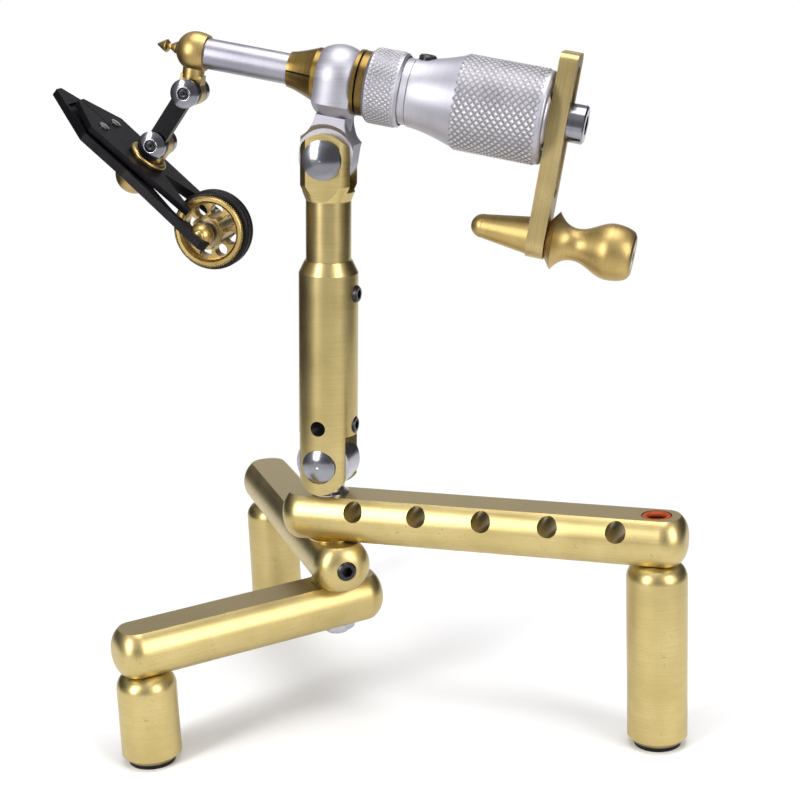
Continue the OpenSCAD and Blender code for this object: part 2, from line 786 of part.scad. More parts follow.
// Stem
module stem_foot() {
    seat_r = seat_dia / 2;
    neck = seat_neck_dia / 2;
    tongue_half = knuckle_tongue_w / 2;
    rise = knuckle_rise - slip;
    color(steel) along_bar(top_bar_az, deck_z + slip) difference() {
        union() {
            rotate_extrude() polygon([[0, 0], [seat_r, 0], [seat_r, seat_rim], [neck, seat_rim + seat_cone],
                [neck, rise - knuckle_tongue_r / 2], [0, rise - knuckle_tongue_r / 2]]);
            translate([0, 0, rise]) rod_y(knuckle_tongue_r, -tongue_half, tongue_half);
        }
        translate([0, 0, rise]) rod_y(knuckle_pin_dia / 2 + fit, -bar_r, bar_r);
        translate([0, 0, -over]) cylinder(r = base_bolt_dia / 2 + fit, h = base_bolt_top - deck_z + over);
    }
}

module sleeve() {
    r = sleeve_dia / 2;
    slot_half = knuckle_tongue_w / 2 + fork_play;
    color(brass) on_stem() difference() {
        intersection() {
            rotate_extrude() polygon([[0, -r], [r, -r], [r, sleeve_len - sleeve_cone],
                [post_dia / 2 + sleeve_cone / 10, sleeve_len], [0, sleeve_len]]);
            union() {
                rod_y(r, -r, r);
                translate([-r, -r, 0]) cube([2 * r, 2 * r, sleeve_len]);
            }
        }
        translate([-sleeve_dia, -slot_half, -sleeve_dia])
            cube([2 * sleeve_dia, 2 * slot_half, sleeve_dia + sleeve_fork_depth]);
        cylinder(r = post_dia / 2 + fit, h = sleeve_len + over);
        rod_y(knuckle_pin_dia / 2 + fit, -sleeve_dia, sleeve_dia);
        for (side = [-1, 1]) {
            rotate([0, 0, 90 + 90 * side]) rod_y(knuckle_head_dia / 2 + fit, knuckle_seat, sleeve_dia);
        }
        for (s = [low_screw_s, high_screw_s]) {
            translate([0, 0, s]) rotate([0, 90, 0]) cylinder(r = sleeve_screw_dia / 2 + fit, h = sleeve_dia);
        }
        translate([0, 0, low_screw_s]) rod_y(open_hole_dia / 2, -sleeve_dia, 0);
    }
}

module knuckle_pin() {
    color(silver) on_stem() {
        rod_y(knuckle_pin_dia / 2, -knuckle_seat - slip, knuckle_seat + slip);
        for (side = [-1, 1]) {
            rotate([-90 * side, 0, 0]) translate([0, 0, knuckle_seat + slip])
                domed_disc(knuckle_head_dia / 2, knuckle_head_t);
        }
    }
}

module sleeve_set_screws() {
    inner = post_dia / 2 + fit;
    outer = sleeve_dia / 2;
    color(black) on_stem() {
        translate([inner, 0, low_screw_s]) rotate([0, 90, 0])
            grub_screw(sleeve_screw_dia, outer + low_screw_out - inner);
        translate([inner, 0, high_screw_s]) rotate([0, 90, 0])
            grub_screw(sleeve_screw_dia, outer + high_screw_out - inner);
    }
}

module post() {
    r = clevis_dia / 2;
    slot_half = head_tongue_w / 2 + fork_play;
    cone_at = -clevis_drop - clevis_cone;
    color(brass) on_clevis() difference() {
        union() {
            translate([0, 0, post_start - pin_span])
                cylinder(d = post_dia, h = pin_span - post_start - clevis_drop);
            intersection() {
                rotate_extrude()
                    polygon([[0, cone_at], [post_dia / 2, cone_at], [r, -clevis_drop], [r, r], [0, r]]);
                union() {
                    translate([-r, -r, cone_at]) cube([2 * r, 2 * r, -cone_at - clevis_round_drop]);
                    translate([0, 0, -clevis_round_drop]) rod_y(r, -r, r);
                }
                translate([-r, -clevis_flats / 2, cone_at]) cube([2 * r, clevis_flats, 2 * r - cone_at]);
            }
        }
        translate([-clevis_dia, -slot_half, -clevis_slot_depth])
            cube([2 * clevis_dia, 2 * slot_half, clevis_slot_depth + clevis_dia]);
        rod_y(clevis_pin_dia / 2 + fit, -clevis_dia, clevis_dia);
    }
}

module clevis_pin() {
    seat = clevis_flats / 2 + slip;
    color(silver) on_clevis() {
        rod_y(clevis_pin_dia / 2, -seat, seat);
        for (side = [-1, 1]) {
            rotate([-90 * side, 0, 0]) translate([0, 0, seat]) domed_disc(clevis_head_dia / 2, clevis_head_t);
        }
    }
}

// Head
// The block's round body and neck, turned about Z and faced at both ends
module block_body() {
    intersection() {
        rotate_extrude() {
            polygon([[0, neck_top_z - neck_r], [neck_r, neck_top_z - neck_r], [neck_r, neck_top_z],
                [block_r, block_low_z], [block_r, shaft_rise], [0, shaft_rise]]);
            intersection() {
                translate([0, shaft_rise]) circle(r = block_r);
                translate([0, shaft_rise - over]) square([block_r, block_r + over]);
            }
        }
        translate([-block_face, -block_r, 0]) cube([block_len, 2 * block_r, shaft_rise + block_r]);
    }
}

// The waisted foot that flares into the tongue, seen from the near side
module block_foot() {
    difference() {
        union() {
            translate([-head_tongue_r, 0]) square([2 * head_tongue_r, neck_top_z]);
            circle(r = head_tongue_r);
        }
        for (side = [-1, 1]) {
            translate([side * (waist_half + waist_r), neck_top_z]) circle(r = waist_r);
        }
    }
}

module head_block() {
    tongue = head_tongue_w / 2;
    depth = block_r - tongue;
    color(silver) on_head() difference() {
        union() {
            block_body();
            translate([0, neck_r, 0]) rotate([90, 0, 0]) linear_extrude(2 * neck_r) block_foot();
        }
        for (side = [-1, 1]) {
            rotate([-90 * side, 0, 0]) translate([0, 0, tongue])
                cylinder(r1 = shoulder_r, r2 = shoulder_r + depth, h = depth);
        }
        rod_y(clevis_pin_dia / 2 + fit, -block_len, block_len);
        translate([-block_len, 0, shaft_rise]) rotate([0, 90, 0])
            cylinder(r = bush_dia / 2 + fit, h = 2 * block_len);
    }
}

module bearing_bush() {
    color(brass) on_shaft() difference() {
        union() {
            translate([0, 0, -block_face]) cylinder(d = bush_dia, h = block_len);
            translate([0, 0, block_face]) cylinder(d = bush_flange_dia, h = bush_flange_t);
        }
        translate([0, 0, -block_len]) cylinder(r = spindle_dia / 2 + fit, h = 3 * block_len);
    }
}

module drag_ring() {
    color(black) on_shaft() translate([0, 0, drag_ring_at])
        ring(drag_ring_dia / 2, spindle_dia / 2 + fit, drag_ring_t);
}

module drag_washer() {
    color(antique) on_shaft() translate([0, 0, drag_washer_at])
        ring(drag_washer_dia / 2, spindle_dia / 2 + fit, drag_washer_t);
}

module drag_nut() {
    r = nut_dia / 2;
    edge = r - nut_bevel;
    color(silver) on_shaft() translate([0, 0, nut_at]) difference() {
        rotate_extrude() polygon([[0, 0], [edge, 0], [r, nut_bevel], [r, nut_len - nut_bevel],
            [edge, nut_len], [0, nut_len]]);
        translate([0, 0, -over]) cylinder(r = spindle_dia / 2 + fit, h = nut_len + 2 * over);
        translate([0, 0, nut_len - nut_recess]) cylinder(d = nut_recess_dia, h = nut_recess + over);
    }
}

module spindle() {
    color(steel) on_shaft() translate([0, 0, spindle_at])
        ring(spindle_dia / 2, tube_dia / 2 + fit, spindle_end - spindle_at);
}

module collet() {
    small = collet_dia / 2;
    wide = collet_wide_dia / 2;
    steps = 10;
    slit_len = collet_len - collet_rim;
    color(antique) on_shaft() translate([0, 0, collet_at]) difference() {
        rotate_extrude() polygon(concat([[0, 0]],
            [for (i = [0 : steps]) let (q = i / steps) [small + (wide - small) * pow(q, 1.25), slit_len * q]],
            [[wide, collet_len], [0, collet_len]]));
        translate([0, 0, -over]) cylinder(r = tube_dia / 2 + fit, h = collet_len + 2 * over);
        translate([0, 0, spindle_at - collet_at - slip])
            cylinder(r = spindle_dia / 2 + fit, h = collet_len);
        for (a = [0, 90]) {
            rotate([0, 0, a]) translate([-wide - over, -slit_w / 2, -over])
                cube([collet_wide_dia + 2 * over, slit_w, slit_len + over]);
        }
    }
}

// Drum
function flare_r(q) = (flare_dia + (drum_dia - flare_dia) * pow(q, flare_power)) / 2;

module drum() {
    r = drum_dia / 2;
    steps = 20;
    color(silver) on_shaft() difference() {
        rotate_extrude() {
            polygon(concat([[0, neck_at], [drum_neck_dia / 2, neck_at], [drum_neck_dia / 2, groove_at],
                [drum_groove_dia / 2, groove_at], [drum_groove_dia / 2, flare_at]],
                [for (i = [0 : steps]) let (q = i / steps) [flare_r(q), flare_at + flare_len * q]],
                [[r, drum_end - drum_round], [0, drum_end - drum_round]]));
            translate([0, drum_at]) square([r - drum_round, drum_len]);
            intersection() {
                translate([r - drum_round, drum_end - drum_round]) circle(r = drum_round);
                translate([0, drum_end - drum_round]) square([r, drum_round]);
            }
        }
        translate([0, 0, neck_at - over])
            cylinder(r = spindle_dia / 2 + fit, h = drum_bore_end - neck_at + over);
        translate([0, 0, drum_bore_end - over])
            cylinder(r = crank_bolt_dia / 2 + fit, h = drum_wall + 2 * over);
        translate([0, 0, cap_at]) cylinder(d = drum_recess_dia, h = drum_recess + over);
        translate([0, 0, drum_screw_spot()]) rotate([0, -90, 0])
            cylinder(r = drum_screw_dia / 2 + fit, h = drum_dia);
    }
}

function drum_screw_spot() = nut_end + drum_screw_at;

module drum_set_screw() {
    inner = spindle_dia / 2 + slip;
    outer = flare_r((drum_screw_spot() - flare_at) / flare_len) + drum_screw_out;
    color(black) on_shaft() translate([-inner, 0, drum_screw_spot()]) rotate([0, -90, 0])
        grub_screw(drum_screw_dia, outer - inner);
}

module end_cap() {
    r = cap_dia / 2;
    color(silver) on_shaft() translate([0, 0, cap_at]) difference() {
        rotate_extrude() {
            square([r, cap_t - cap_round]);
            square([r - cap_round, cap_t]);
            intersection() {
                translate([r - cap_round, cap_t - cap_round]) circle(r = cap_round);
                square([r, cap_t]);
            }
        }
        translate([0, 0, -over]) cylinder(r = crank_bolt_dia / 2 + fit, h = cap_t + 2 * over);
    }
}

// Crank
module crank_bolt() {
    bevel = crank_head_h / 10;
    start = drum_end - crank_bolt_grip;
    seat = crank_out + slip;
    top = seat + crank_head_h;
    shank_r = crank_bolt_dia / 2;
    head_r = crank_head_dia / 2;
    color(steel) on_shaft() difference() {
        rotate_extrude() polygon([[0, start], [shank_r, start], [shank_r, seat], [head_r, seat],
            [head_r, top - bevel], [head_r - bevel, top], [0, top]]);
        translate([0, 0, seat + crank_head_h / 2]) hex_hole(crank_bolt_dia * 0.8, crank_head_h);
    }
}

module crank_arm() {
    half = crank_w / 2;
    slot_r = crank_bolt_dia / 2 + 2 * fit;
    color(brass) on_shaft() translate([0, 0, crank_at]) difference() {
        linear_extrude(crank_t) {
            translate([crank_radius, 0]) circle(r = half);
            translate([-crank_top + crank_corner, -half])
                square([crank_top + crank_radius - crank_corner, crank_w]);
            translate([-crank_top, -half + crank_corner]) square([crank_top, crank_w - 2 * crank_corner]);
            for (side = [-1, 1]) {
                translate([-crank_top + crank_corner, side * (half - crank_corner)]) circle(r = crank_corner);
            }
        }
        for (x = [-slot_top + slot_r, slot_bottom - slot_r]) {
            translate([x, 0, -over]) cylinder(r = slot_r, h = crank_t + 2 * over);
        }
        translate([-slot_top + slot_r, -slot_r, -over])
            cube([slot_top + slot_bottom - 2 * slot_r, 2 * slot_r, crank_t + 2 * over]);
        translate([crank_radius, 0, -over]) cylinder(r = knob_axle_dia / 2 + fit, h = crank_t + 2 * over);
    }
}

module peg() {
    tip_r = peg_tip_dia / 2;
    color(brass) on_shaft() translate([crank_radius, 0, crank_at]) rotate([180, 0, 0]) difference() {
        union() {
            cylinder(d1 = peg_dia, r2 = tip_r, h = peg_len - tip_r);
            translate([0, 0, peg_len - tip_r]) sphere(r = tip_r);
        }
        translate([0, 0, -over]) cylinder(r = knob_axle_dia / 2 + fit, h = knob_axle_grip + slip + over);
    }
}

module knob_axle() {
    head_at = knob_end - knob_recess + slip;
    head_h = knob_recess - 2 * slip;
    start = crank_at - knob_axle_grip;
    color(steel) on_shaft() translate([crank_radius, 0, 0]) difference() {
        union() {
            translate([0, 0, start]) cylinder(d = knob_axle_dia, h = head_at - start);
            translate([0, 0, head_at]) cylinder(d = knob_recess_dia - 4 * fit, h = head_h);
        }
        translate([0, 0, head_at + head_h / 2]) hex_hole(knob_axle_dia * 0.6, head_h);
    }
}

// Radius of the knob between its rim and its end, at a distance z from its foot
function knob_r(z) =
    z < knob_waist_at
    ? let (q = (z - knob_rim_at) / (knob_waist_at - knob_rim_at))
        (knob_waist_dia + (knob_rim_dia - knob_waist_dia) * pow(1 - q, 2.4)) / 2
    : z < knob_bulb_at
    ? let (q = (z - knob_waist_at) / (knob_bulb_at - knob_waist_at))
        (knob_waist_dia + (knob_bulb_dia - knob_waist_dia) * (1 - cos(180 * q)) / 2) / 2
    : let (q = min(1, (z - knob_bulb_at) / (knob_len - knob_bulb_at)))
        (knob_end_dia + (knob_bulb_dia - knob_end_dia) * sqrt(1 - q * q)) / 2;

module knob() {
    steps = 40;
    color(brass) on_shaft() translate([crank_radius, 0, knob_at]) difference() {
        rotate_extrude() polygon(concat([[0, 0], [knob_foot_dia / 2, 0]],
            [for (i = [0 : steps]) let (z = knob_rim_at + (knob_len - knob_rim_at) * i / steps)
                [knob_r(z), z]],
            [[0, knob_len]]));
        translate([0, 0, -over]) cylinder(r = knob_axle_dia / 2 + fit, h = knob_len + 2 * over);
        translate([0, 0, knob_len - knob_recess]) cylinder(d = knob_recess_dia, h = knob_recess + over);
    }
}

// Arm and link
module arm_tube() {
    start = ball_at + ball_face - ball_socket;
    color(silver) on_shaft() translate([0, 0, start])
        ring(tube_dia / 2, tube_bore / 2, collet_wide_at + tube_inside - start);
}

module ball_end() {
    r = ball_dia / 2;
    steps = 8;
    half = lug_t / 2;
    neck = ball_neck_dia / 2;
    stud_r = finial_dia / 4 + fit;
    color(brass) on_head() translate([ball_at, 0, shaft_rise]) difference() {
        union() {
            rotate([0, 90, 0]) rotate_extrude() {
                intersection() {
                    circle(r = r);
                    translate([0, -r]) square([r, r + over / 4]);
                }
                polygon(concat([[0, 0]], [for (i = [0 : steps]) let (q = i / steps)
                    [r - (r - ball_face_dia / 2) * q * q, ball_face * q]], [[0, ball_face]]));
            }
            translate([0, 0, -joint_drop + lug_dia / 2])
                cylinder(r = neck, h = joint_drop - lug_dia / 2 - r / 2);
            translate([0, 0, -joint_drop]) rod_y(lug_dia / 2, -half, half);
            translate([-neck, -half, -joint_drop]) cube([2 * neck, lug_t, lug_dia / 2 + over]);
        }
        translate([ball_face - ball_socket - slip, 0, 0]) rotate([0, 90, 0])
            cylinder(r = tube_dia / 2 + fit, h = ball_dia);
        translate([-ball_dia, 0, 0]) rotate([0, 90, 0]) cylinder(r = stud_r, h = ball_dia);
        translate([0, 0, -joint_drop]) rod_y(joint_bolt_dia / 2 + fit, -lug_dia, lug_dia);
    }
}

// The finial's outline, in shares of its length and of its barb's radius
finial_shares = [[0, 0.95], [0.1, 0.85], [0.3, 0.42], [0.42, 0.42], [0.44, 0.8], [0.48, 0.5], [0.52, 1],
    [0.58, 0.95], [0.94, 0.25], [1, 0.12]];

module finial() {
    barb_r = finial_dia / 2;
    back = ball_dia / 8;
    color(brass) on_head() translate([ball_at - ball_dia / 2 + slip, 0, shaft_rise]) rotate([0, -90, 0]) {
        rotate_extrude() polygon(concat([[0, 0]],
            [for (p = finial_shares) [p[1] * barb_r, p[0] * finial_len]], [[0, finial_len]]));
        translate([0, 0, -back]) cylinder(r = barb_r / 2, h = back + over);
    }
}

module joint_bolt() {
    half = lug_t / 2;
    eye_in = half + turn_gap;
    eye_out = eye_in + link_t;
    head_in = eye_out + slip;
    nut_out = half + joint_washer_t + joint_nut_t;
    color(silver) difference() {
        union() {
            rod_y(joint_bolt_dia / 2, -head_in, nut_out);
            rotate([90, 0, 0]) translate([0, 0, head_in]) domed_disc(joint_head_dia / 2, joint_head_t);
        }
        rotate([90, 0, 0]) translate([0, 0, head_in + joint_head_t / 3])
            hex_hole(joint_bolt_dia * 0.6, joint_head_t);
    }
}

module joint_washer() {
    start = lug_t / 2 + slip;
    color(black) rotate([-90, 0, 0]) translate([0, 0, start])
        ring(joint_washer_dia / 2, joint_bolt_dia / 2 + fit, joint_washer_t);
}

module joint_nut() {
    start = lug_t / 2 + joint_washer_t + 2 * slip;
    color(steel) rotate([-90, 0, 0]) translate([0, 0, start])
        ring(joint_nut_dia / 2, joint_bolt_dia / 2 + fit, joint_nut_t);
}

module upper_joint_bolt() {
    on_upper_joint() joint_bolt();
}

module upper_joint_washer() {
    on_upper_joint() joint_washer();
}

module upper_joint_nut() {
    on_upper_joint() joint_nut();
}

module link() {
    near = -lug_t / 2 - turn_gap;
    eye_r = lug_dia / 2;
    color(black) on_link() difference() {
        union() {
            for (z = [0, -link_len]) {
                translate([0, 0, z]) rod_y(eye_r, near - link_t, near);
            }
            translate([-link_w / 2, near - link_t, -link_len]) cube([link_w, link_t, link_len]);
        }
        for (z = [0, -link_len]) {
            translate([0, 0, z]) rod_y(joint_bolt_dia / 2 + fit, -2 * lug_dia, lug_dia);
        }
    }
}

module lower_joint_bolt() {
    on_lower_joint() joint_bolt();
}

module lower_joint_washer() {
    on_lower_joint() joint_washer();
}

module lower_joint_nut() {
    on_lower_joint() joint_nut();
}

module swivel_mount() {
    half = lug_t / 2;
    foot_r = lug_dia / 2;
    low = slip - mount_rise;
    color(brass) on_lower_joint() difference() {
        union() {
            rod_y(foot_r, -half, half);
            translate([-foot_r, -half, low]) cube([lug_dia, lug_t, -low]);
            translate([0, 0, low]) cylinder(d = flange_dia, h = flange_t);
            translate([0, 0, low + flange_t])
                cylinder(d1 = flange_dia - flange_t, r2 = half, h = flange_t);
            translate([0, 0, -mount_rise - dome_top - dome_h / 2])
                cylinder(d = swivel_dia, h = dome_top + dome_h / 2 + flange_t);
        }
        rod_y(joint_bolt_dia / 2 + fit, -lug_dia, lug_dia);
    }
}

module dome_nut() {
    skirt = dome_h * 0.3;
    cap_h = dome_h - skirt;
    r = dome_dia / 2;
    cap_r = (r * r + cap_h * cap_h) / (2 * cap_h);
    color(brass) on_jaws() translate([mount_at, 0, -dome_top]) difference() {
        union() {
            translate([0, 0, -skirt]) cylinder(r = r, h = skirt);
            intersection() {
                translate([0, 0, cap_r - dome_h]) sphere(r = cap_r);
                translate([0, 0, -dome_h]) cylinder(r = r, h = cap_h);
            }
            cylinder(d = dome_neck_dia, h = dome_top - plate_t - slip);
        }
        translate([0, 0, -dome_h / 2 - slip]) cylinder(r = swivel_dia / 2 + fit, h = dome_h + dome_top);
    }
}

// Jaws
module jaw_plate() {
    outline = [[nose_at, nose_half], [shoulder_at, plate_half], [plate_tail_at, plate_tail_half],
        [plate_tail_at, plate_tail_half - plate_tail_w], [notch_at, notch_half]];
    mirrored = [for (i = [len(outline) - 1 : -1 : 0]) [outline[i][0], -outline[i][1]]];
    color(black) on_jaws() translate([0, 0, -plate_t]) difference() {
        linear_extrude(plate_t) difference() {
            polygon(concat(outline, mirrored));
            translate([0, -nose_slit / 2]) square([pin_at, nose_slit]);
            translate([pin_at - nose_slit / 2, -pin_off]) square([nose_slit, 2 * pin_off]);
        }
        translate([mount_at, 0, -over]) cylinder(r = swivel_dia / 2 + fit, h = plate_t + 2 * over);
        for (side = [-1, 1]) {
            translate([pin_at, side * pin_off, -over])
                cylinder(r = fulcrum_dia / 2 + fit, h = plate_t + 2 * over);
        }
    }
}

module fulcrum_pins() {
    color(silver) on_jaws() for (side = [-1, 1]) {
        translate([pin_at, side * pin_off, -arm_bottom]) cylinder(d = fulcrum_dia, h = arm_bottom + slip);
        translate([pin_at, side * pin_off, slip]) domed_disc(fulcrum_head_dia / 2, fulcrum_head_h);
    }
}

// Seen from above: the outer edge from tip to rear, a round end, and the inner edge back to the tip
module arm_plan() {
    end_r = arm_w / 2;
    end_at = jaw_len - end_r;
    end_off = arm_tail_half - end_r;
    neck_clear = dome_neck_dia / 2;
    polygon(concat([[0, tip_gap], [0, tip_half], [shoulder_at, arm_half], [mount_at, arm_half]],
        [for (a = [90 : -15 : -90]) [end_at + end_r * cos(a), end_off + end_r * sin(a)]],
        [[plate_tail_at, inner_half], [plate_tail_at - 2 * end_r, inner_half - end_r / 2],
        [mount_at + end_r, neck_clear + end_r], [mount_at - neck_clear, neck_clear + end_r / 2],
        [pin_at + end_r, end_r / 2], [nose_at * 2, tip_gap]]));
}

// The recess that the plate's nose and edges lie over, open towards the mid-plane
module recess_plan() {
    start = nose_at - arm_lip;
    nose_off = tip_half + (arm_half - tip_half) * start / shoulder_at - arm_lip;
    polygon([[start, -over], [start, nose_off], [shoulder_at, arm_half - arm_lip],
        [mount_at, arm_half - arm_lip],
        [plate_tail_at + arm_lip, arm_tail_half - arm_w / 2 - arm_lip],
        [plate_tail_at + arm_lip, -over]]);
}

// Seen from the side: flat above, and tapered to the tip below
module arm_side() {
    polygon([[0, -arm_top - jaw_tip_t], [0, -arm_top], [jaw_len, -arm_top], [jaw_len, -arm_bottom],
        [shoulder_at, -arm_bottom]]);
}

module jaw_arm() {
    difference() {
        intersection() {
            translate([0, 0, -2 * arm_bottom]) linear_extrude(3 * arm_bottom) arm_plan();
            translate([0, 2 * arm_tail_half, 0]) rotate([90, 0, 0])
                linear_extrude(2 * arm_tail_half) arm_side();
        }
        translate([0, 0, -arm_top - arm_recess]) linear_extrude(arm_bottom) recess_plan();
        translate([pin_at, pin_off, -2 * arm_bottom]) cylinder(r = fulcrum_dia / 2 + fit, h = 3 * arm_bottom);
        translate([axle_at, ball_nut_at, -axle_drop]) sphere(r = ball_nut_dia / 2 + fit);
    }
}

module near_jaw() {
    color(black) on_jaws() mirror([0, 1, 0]) jaw_arm();
}

module far_jaw() {
    color(black) on_jaws() jaw_arm();
}

// Depth of the screw's seat below the ball nut's top
nut_screw_seat = ball_nut_dia / 2 - axle_dia / 2 - nut_play - slip;

module ball_nut() {
    face = ball_nut_at - ball_nut_face;
    bore_r = axle_dia / 2 + nut_play;
    translate([axle_at, ball_nut_at, -axle_drop]) difference() {
        rotate([-90, 0, 0]) rotate_extrude() difference() {
            intersection() {
                circle(d = ball_nut_dia);
                translate([0, -face]) square([ball_nut_dia, 2 * ball_nut_dia]);
            }
            translate([0, -ball_nut_dia]) square([bore_r, 2 * ball_nut_dia]);
        }
        cylinder(r = nut_screw_dia / 2 + fit, h = ball_nut_dia);
    }
}

module nut_screw() {
    translate([axle_at, ball_nut_at, -axle_drop + axle_dia / 2 + nut_play])
        grub_screw(nut_screw_dia, nut_screw_seat - nut_screw_dia / 4);
}

module near_nut_screw() {
    color(steel) on_jaws() mirror([0, 1, 0]) nut_screw();
}

module far_nut_screw() {
    color(steel) on_jaws() nut_screw();
}

module near_ball_nut() {
    color(brass) on_jaws() mirror([0, 1, 0]) ball_nut();
}

module far_ball_nut() {
    color(brass) on_jaws() ball_nut();
}

// Wheel, with Y as its axle
module on_axle() {
    on_jaws() translate([axle_at, 0, -axle_drop]) children();
}

groove_r = wheel_dia / 2 - tyre_t + tyre_out;
tyre_ring_r = groove_r + tyre_t / 2 + fit;
groove_near = -wheel_w / 2 + near_rim_w;
groove_far = groove_near + 2 * tyre_t + 3 * fit;

// Half of the wheel's section: rims, the groove for the O-rings, web and hub, with r as X
module wheel_section() {
    half = wheel_w / 2;
    web = web_t / 2;
    rim_r = wheel_dia / 2;
    in_r = rim_inner_dia / 2;
    face_r = rim_face_dia / 2;
    hub_r = hub_dia / 2;
    polygon([[0, -hub_end], [hub_r, -hub_end], [hub_r, -web], [in_r, -web], [in_r, -half + face_r - in_r],
        [face_r, -half], [rim_r - rim_edge, -half], [rim_r, -half + rim_edge], [rim_r, groove_near],
        [groove_r, groove_near], [groove_r, groove_far], [rim_r, groove_far], [rim_r, half - rim_edge],
        [rim_r - rim_edge, half], [face_r, half], [in_r, half - face_r + in_r], [in_r, web], [hub_r, web],
        [hub_r, hub_end], [0, hub_end]]);
}

module wheel() {
    color(brass) on_axle() difference() {
        rotate([-90, 0, 0]) rotate_extrude() wheel_section();
        for (i = [0 : web_holes - 1]) {
            rotate([0, (i + 0.5) * 360 / web_holes, 0]) translate([web_hole_r, 0, 0])
                rod_y(web_hole_dia / 2, -wheel_w, wheel_w);
        }
        rod_y(axle_dia / 2 + fit, -wheel_w, wheel_w);
    }
}

module tyres() {
    color(black) on_axle() rotate([-90, 0, 0]) {
        for (i = [0, 1]) {
            rotate_extrude() translate([tyre_ring_r, groove_near + fit + (tyre_t + fit) * i + tyre_t / 2])
                circle(d = tyre_t, $fn = 32);
        }
    }
}

module wheel_axle() {
    reach = ball_nut_at + axle_past;
    color(steel) on_axle() {
        rod_y(axle_dia / 2, -reach, reach);
        for (side = [-1, 1]) {
            rotate([-90 * side, 0, 0]) translate([0, 0, hub_end + slip])
                cylinder(d = collar_dia, h = collar_t);
        }
    }
}

top_bar();
middle_bar();
low_bar();
top_leg();
middle_leg();
low_leg();
top_foot();
middle_foot();
low_foot();
base_bolt();
base_nut();
upper_bar_washer();
lower_bar_washer();
bar_set_screw();
socket_ring();
stem_foot();
sleeve();
knuckle_pin();
sleeve_set_screws();
post();
clevis_pin();
head_block();
bearing_bush();
drag_ring();
drag_washer();
drag_nut();
spindle();
collet();
drum();
drum_set_screw();
end_cap();
crank_bolt();
crank_arm();
peg();
knob_axle();
knob();
arm_tube();
ball_end();
finial();
upper_joint_bolt();
upper_joint_washer();
upper_joint_nut();
link();
lower_joint_bolt();
lower_joint_washer();
lower_joint_nut();
swivel_mount();
dome_nut();
jaw_plate();
fulcrum_pins();
near_jaw();
far_jaw();
near_ball_nut();
far_ball_nut();
near_nut_screw();
far_nut_screw();
wheel();
tyres();
wheel_axle();
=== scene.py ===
import json
import math

import bpy
import numpy as np
from mathutils import Matrix, Vector


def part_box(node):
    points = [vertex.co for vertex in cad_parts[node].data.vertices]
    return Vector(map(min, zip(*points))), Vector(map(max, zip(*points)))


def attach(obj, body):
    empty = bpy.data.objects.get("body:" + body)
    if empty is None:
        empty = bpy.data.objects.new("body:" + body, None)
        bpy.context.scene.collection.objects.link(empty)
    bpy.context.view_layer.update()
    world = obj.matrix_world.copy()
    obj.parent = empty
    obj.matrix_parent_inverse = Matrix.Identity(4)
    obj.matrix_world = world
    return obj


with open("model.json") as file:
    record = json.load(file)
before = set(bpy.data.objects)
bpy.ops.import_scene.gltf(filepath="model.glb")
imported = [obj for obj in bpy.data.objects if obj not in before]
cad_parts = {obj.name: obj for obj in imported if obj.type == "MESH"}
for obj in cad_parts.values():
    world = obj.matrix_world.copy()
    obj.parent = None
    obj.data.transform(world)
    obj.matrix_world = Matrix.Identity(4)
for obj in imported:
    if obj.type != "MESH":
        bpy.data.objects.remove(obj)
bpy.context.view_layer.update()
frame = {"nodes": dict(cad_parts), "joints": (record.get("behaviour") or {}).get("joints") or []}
nodes = frame["nodes"]
joints = {joint["name"]: joint for joint in frame["joints"]}
MM = 0.001
UP = Vector((0, 0, 1))


# Places on the vise, read from its joints and nodes
def joint_axis(name):
    return Vector(joints[name]["axis"]).normalized()


def joint_point(name):
    return Vector(joints[name]["pos_m"])


def middle_of(node):
    low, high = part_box(node)
    return (low + high) / 2


def bar_direction(bar):
    """The way a bar runs in plan, from the base bolt to its leg."""
    leg = middle_of(bar.replace("bar", "leg"))
    bolt = middle_of("base_bolt")
    return Vector((leg.x - bolt.x, leg.y - bolt.y, 0)).normalized()


def near_way(direction):
    """The way along a line that leads to the photograph's side of the vise."""
    return direction if direction.y < 0 else -direction


def turn_to(direction):
    """A rotation that turns Z to a direction."""
    z = direction.normalized()
    x = Vector((1, 0, 0)) if abs(z.x) < 0.9 else Vector((0, 1, 0))
    x = (x - z * x.dot(z)).normalized()
    return Matrix((x, z.cross(x), z)).transposed()


def place_on(point, direction):
    """A place at a point, with Z along a direction."""
    place = turn_to(direction).to_4x4()
    place.translation = point
    return place


def reach_along(node, point, direction):
    """The lowest and highest places of a node along a line, and its largest radius round it."""
    mesh = nodes[node].data
    co = np.empty(len(mesh.vertices) * 3)
    mesh.vertices.foreach_get("co", co)
    co = co.reshape(-1, 3) - np.array(point)
    along = co @ np.array(direction)
    off = np.linalg.norm(co - np.outer(along, np.array(direction)), axis=1)
    return along.min(), along.max(), off.max()


shaft_dir = joint_axis("rotary")
shaft_at = joint_point("rotary")
stem_dir = joint_axis("post_height")
knuckle_at = joint_point("stem_tilt")
knuckle_side = near_way(joint_axis("stem_tilt"))
pin_dir = joint_axis("head_tilt")
near_side = near_way(pin_dir)
link_at = joint_point("link_swing")
jaw_hinge_at = joint_point("jaw_pitch")
jaw_up = joint_axis("jaw_swivel")
jaw_at = joint_point("jaw_swivel")
axle_at = joint_point("wheel_turn")
knob_at = joint_point("knob_spin")


# Nodes and materials
def add(tree, kind, settings=None, **inputs):
    """Adds a node with its settings. Inputs go by name, with _ for a space, or by place, as i0 and i1."""
    node = tree.nodes.new(kind)
    for key, value in (settings or {}).items():
        setattr(node, key, value)
    for key, value in inputs.items():
        socket = node.inputs[int(key[1:]) if key[1:].isdigit() else key.replace("_", " ")]
        if isinstance(value, bpy.types.Node):
            value = value.outputs[0]
        if isinstance(value, bpy.types.NodeSocket):
            tree.links.new(value, socket)
        else:
            socket.default_value = value
    return node


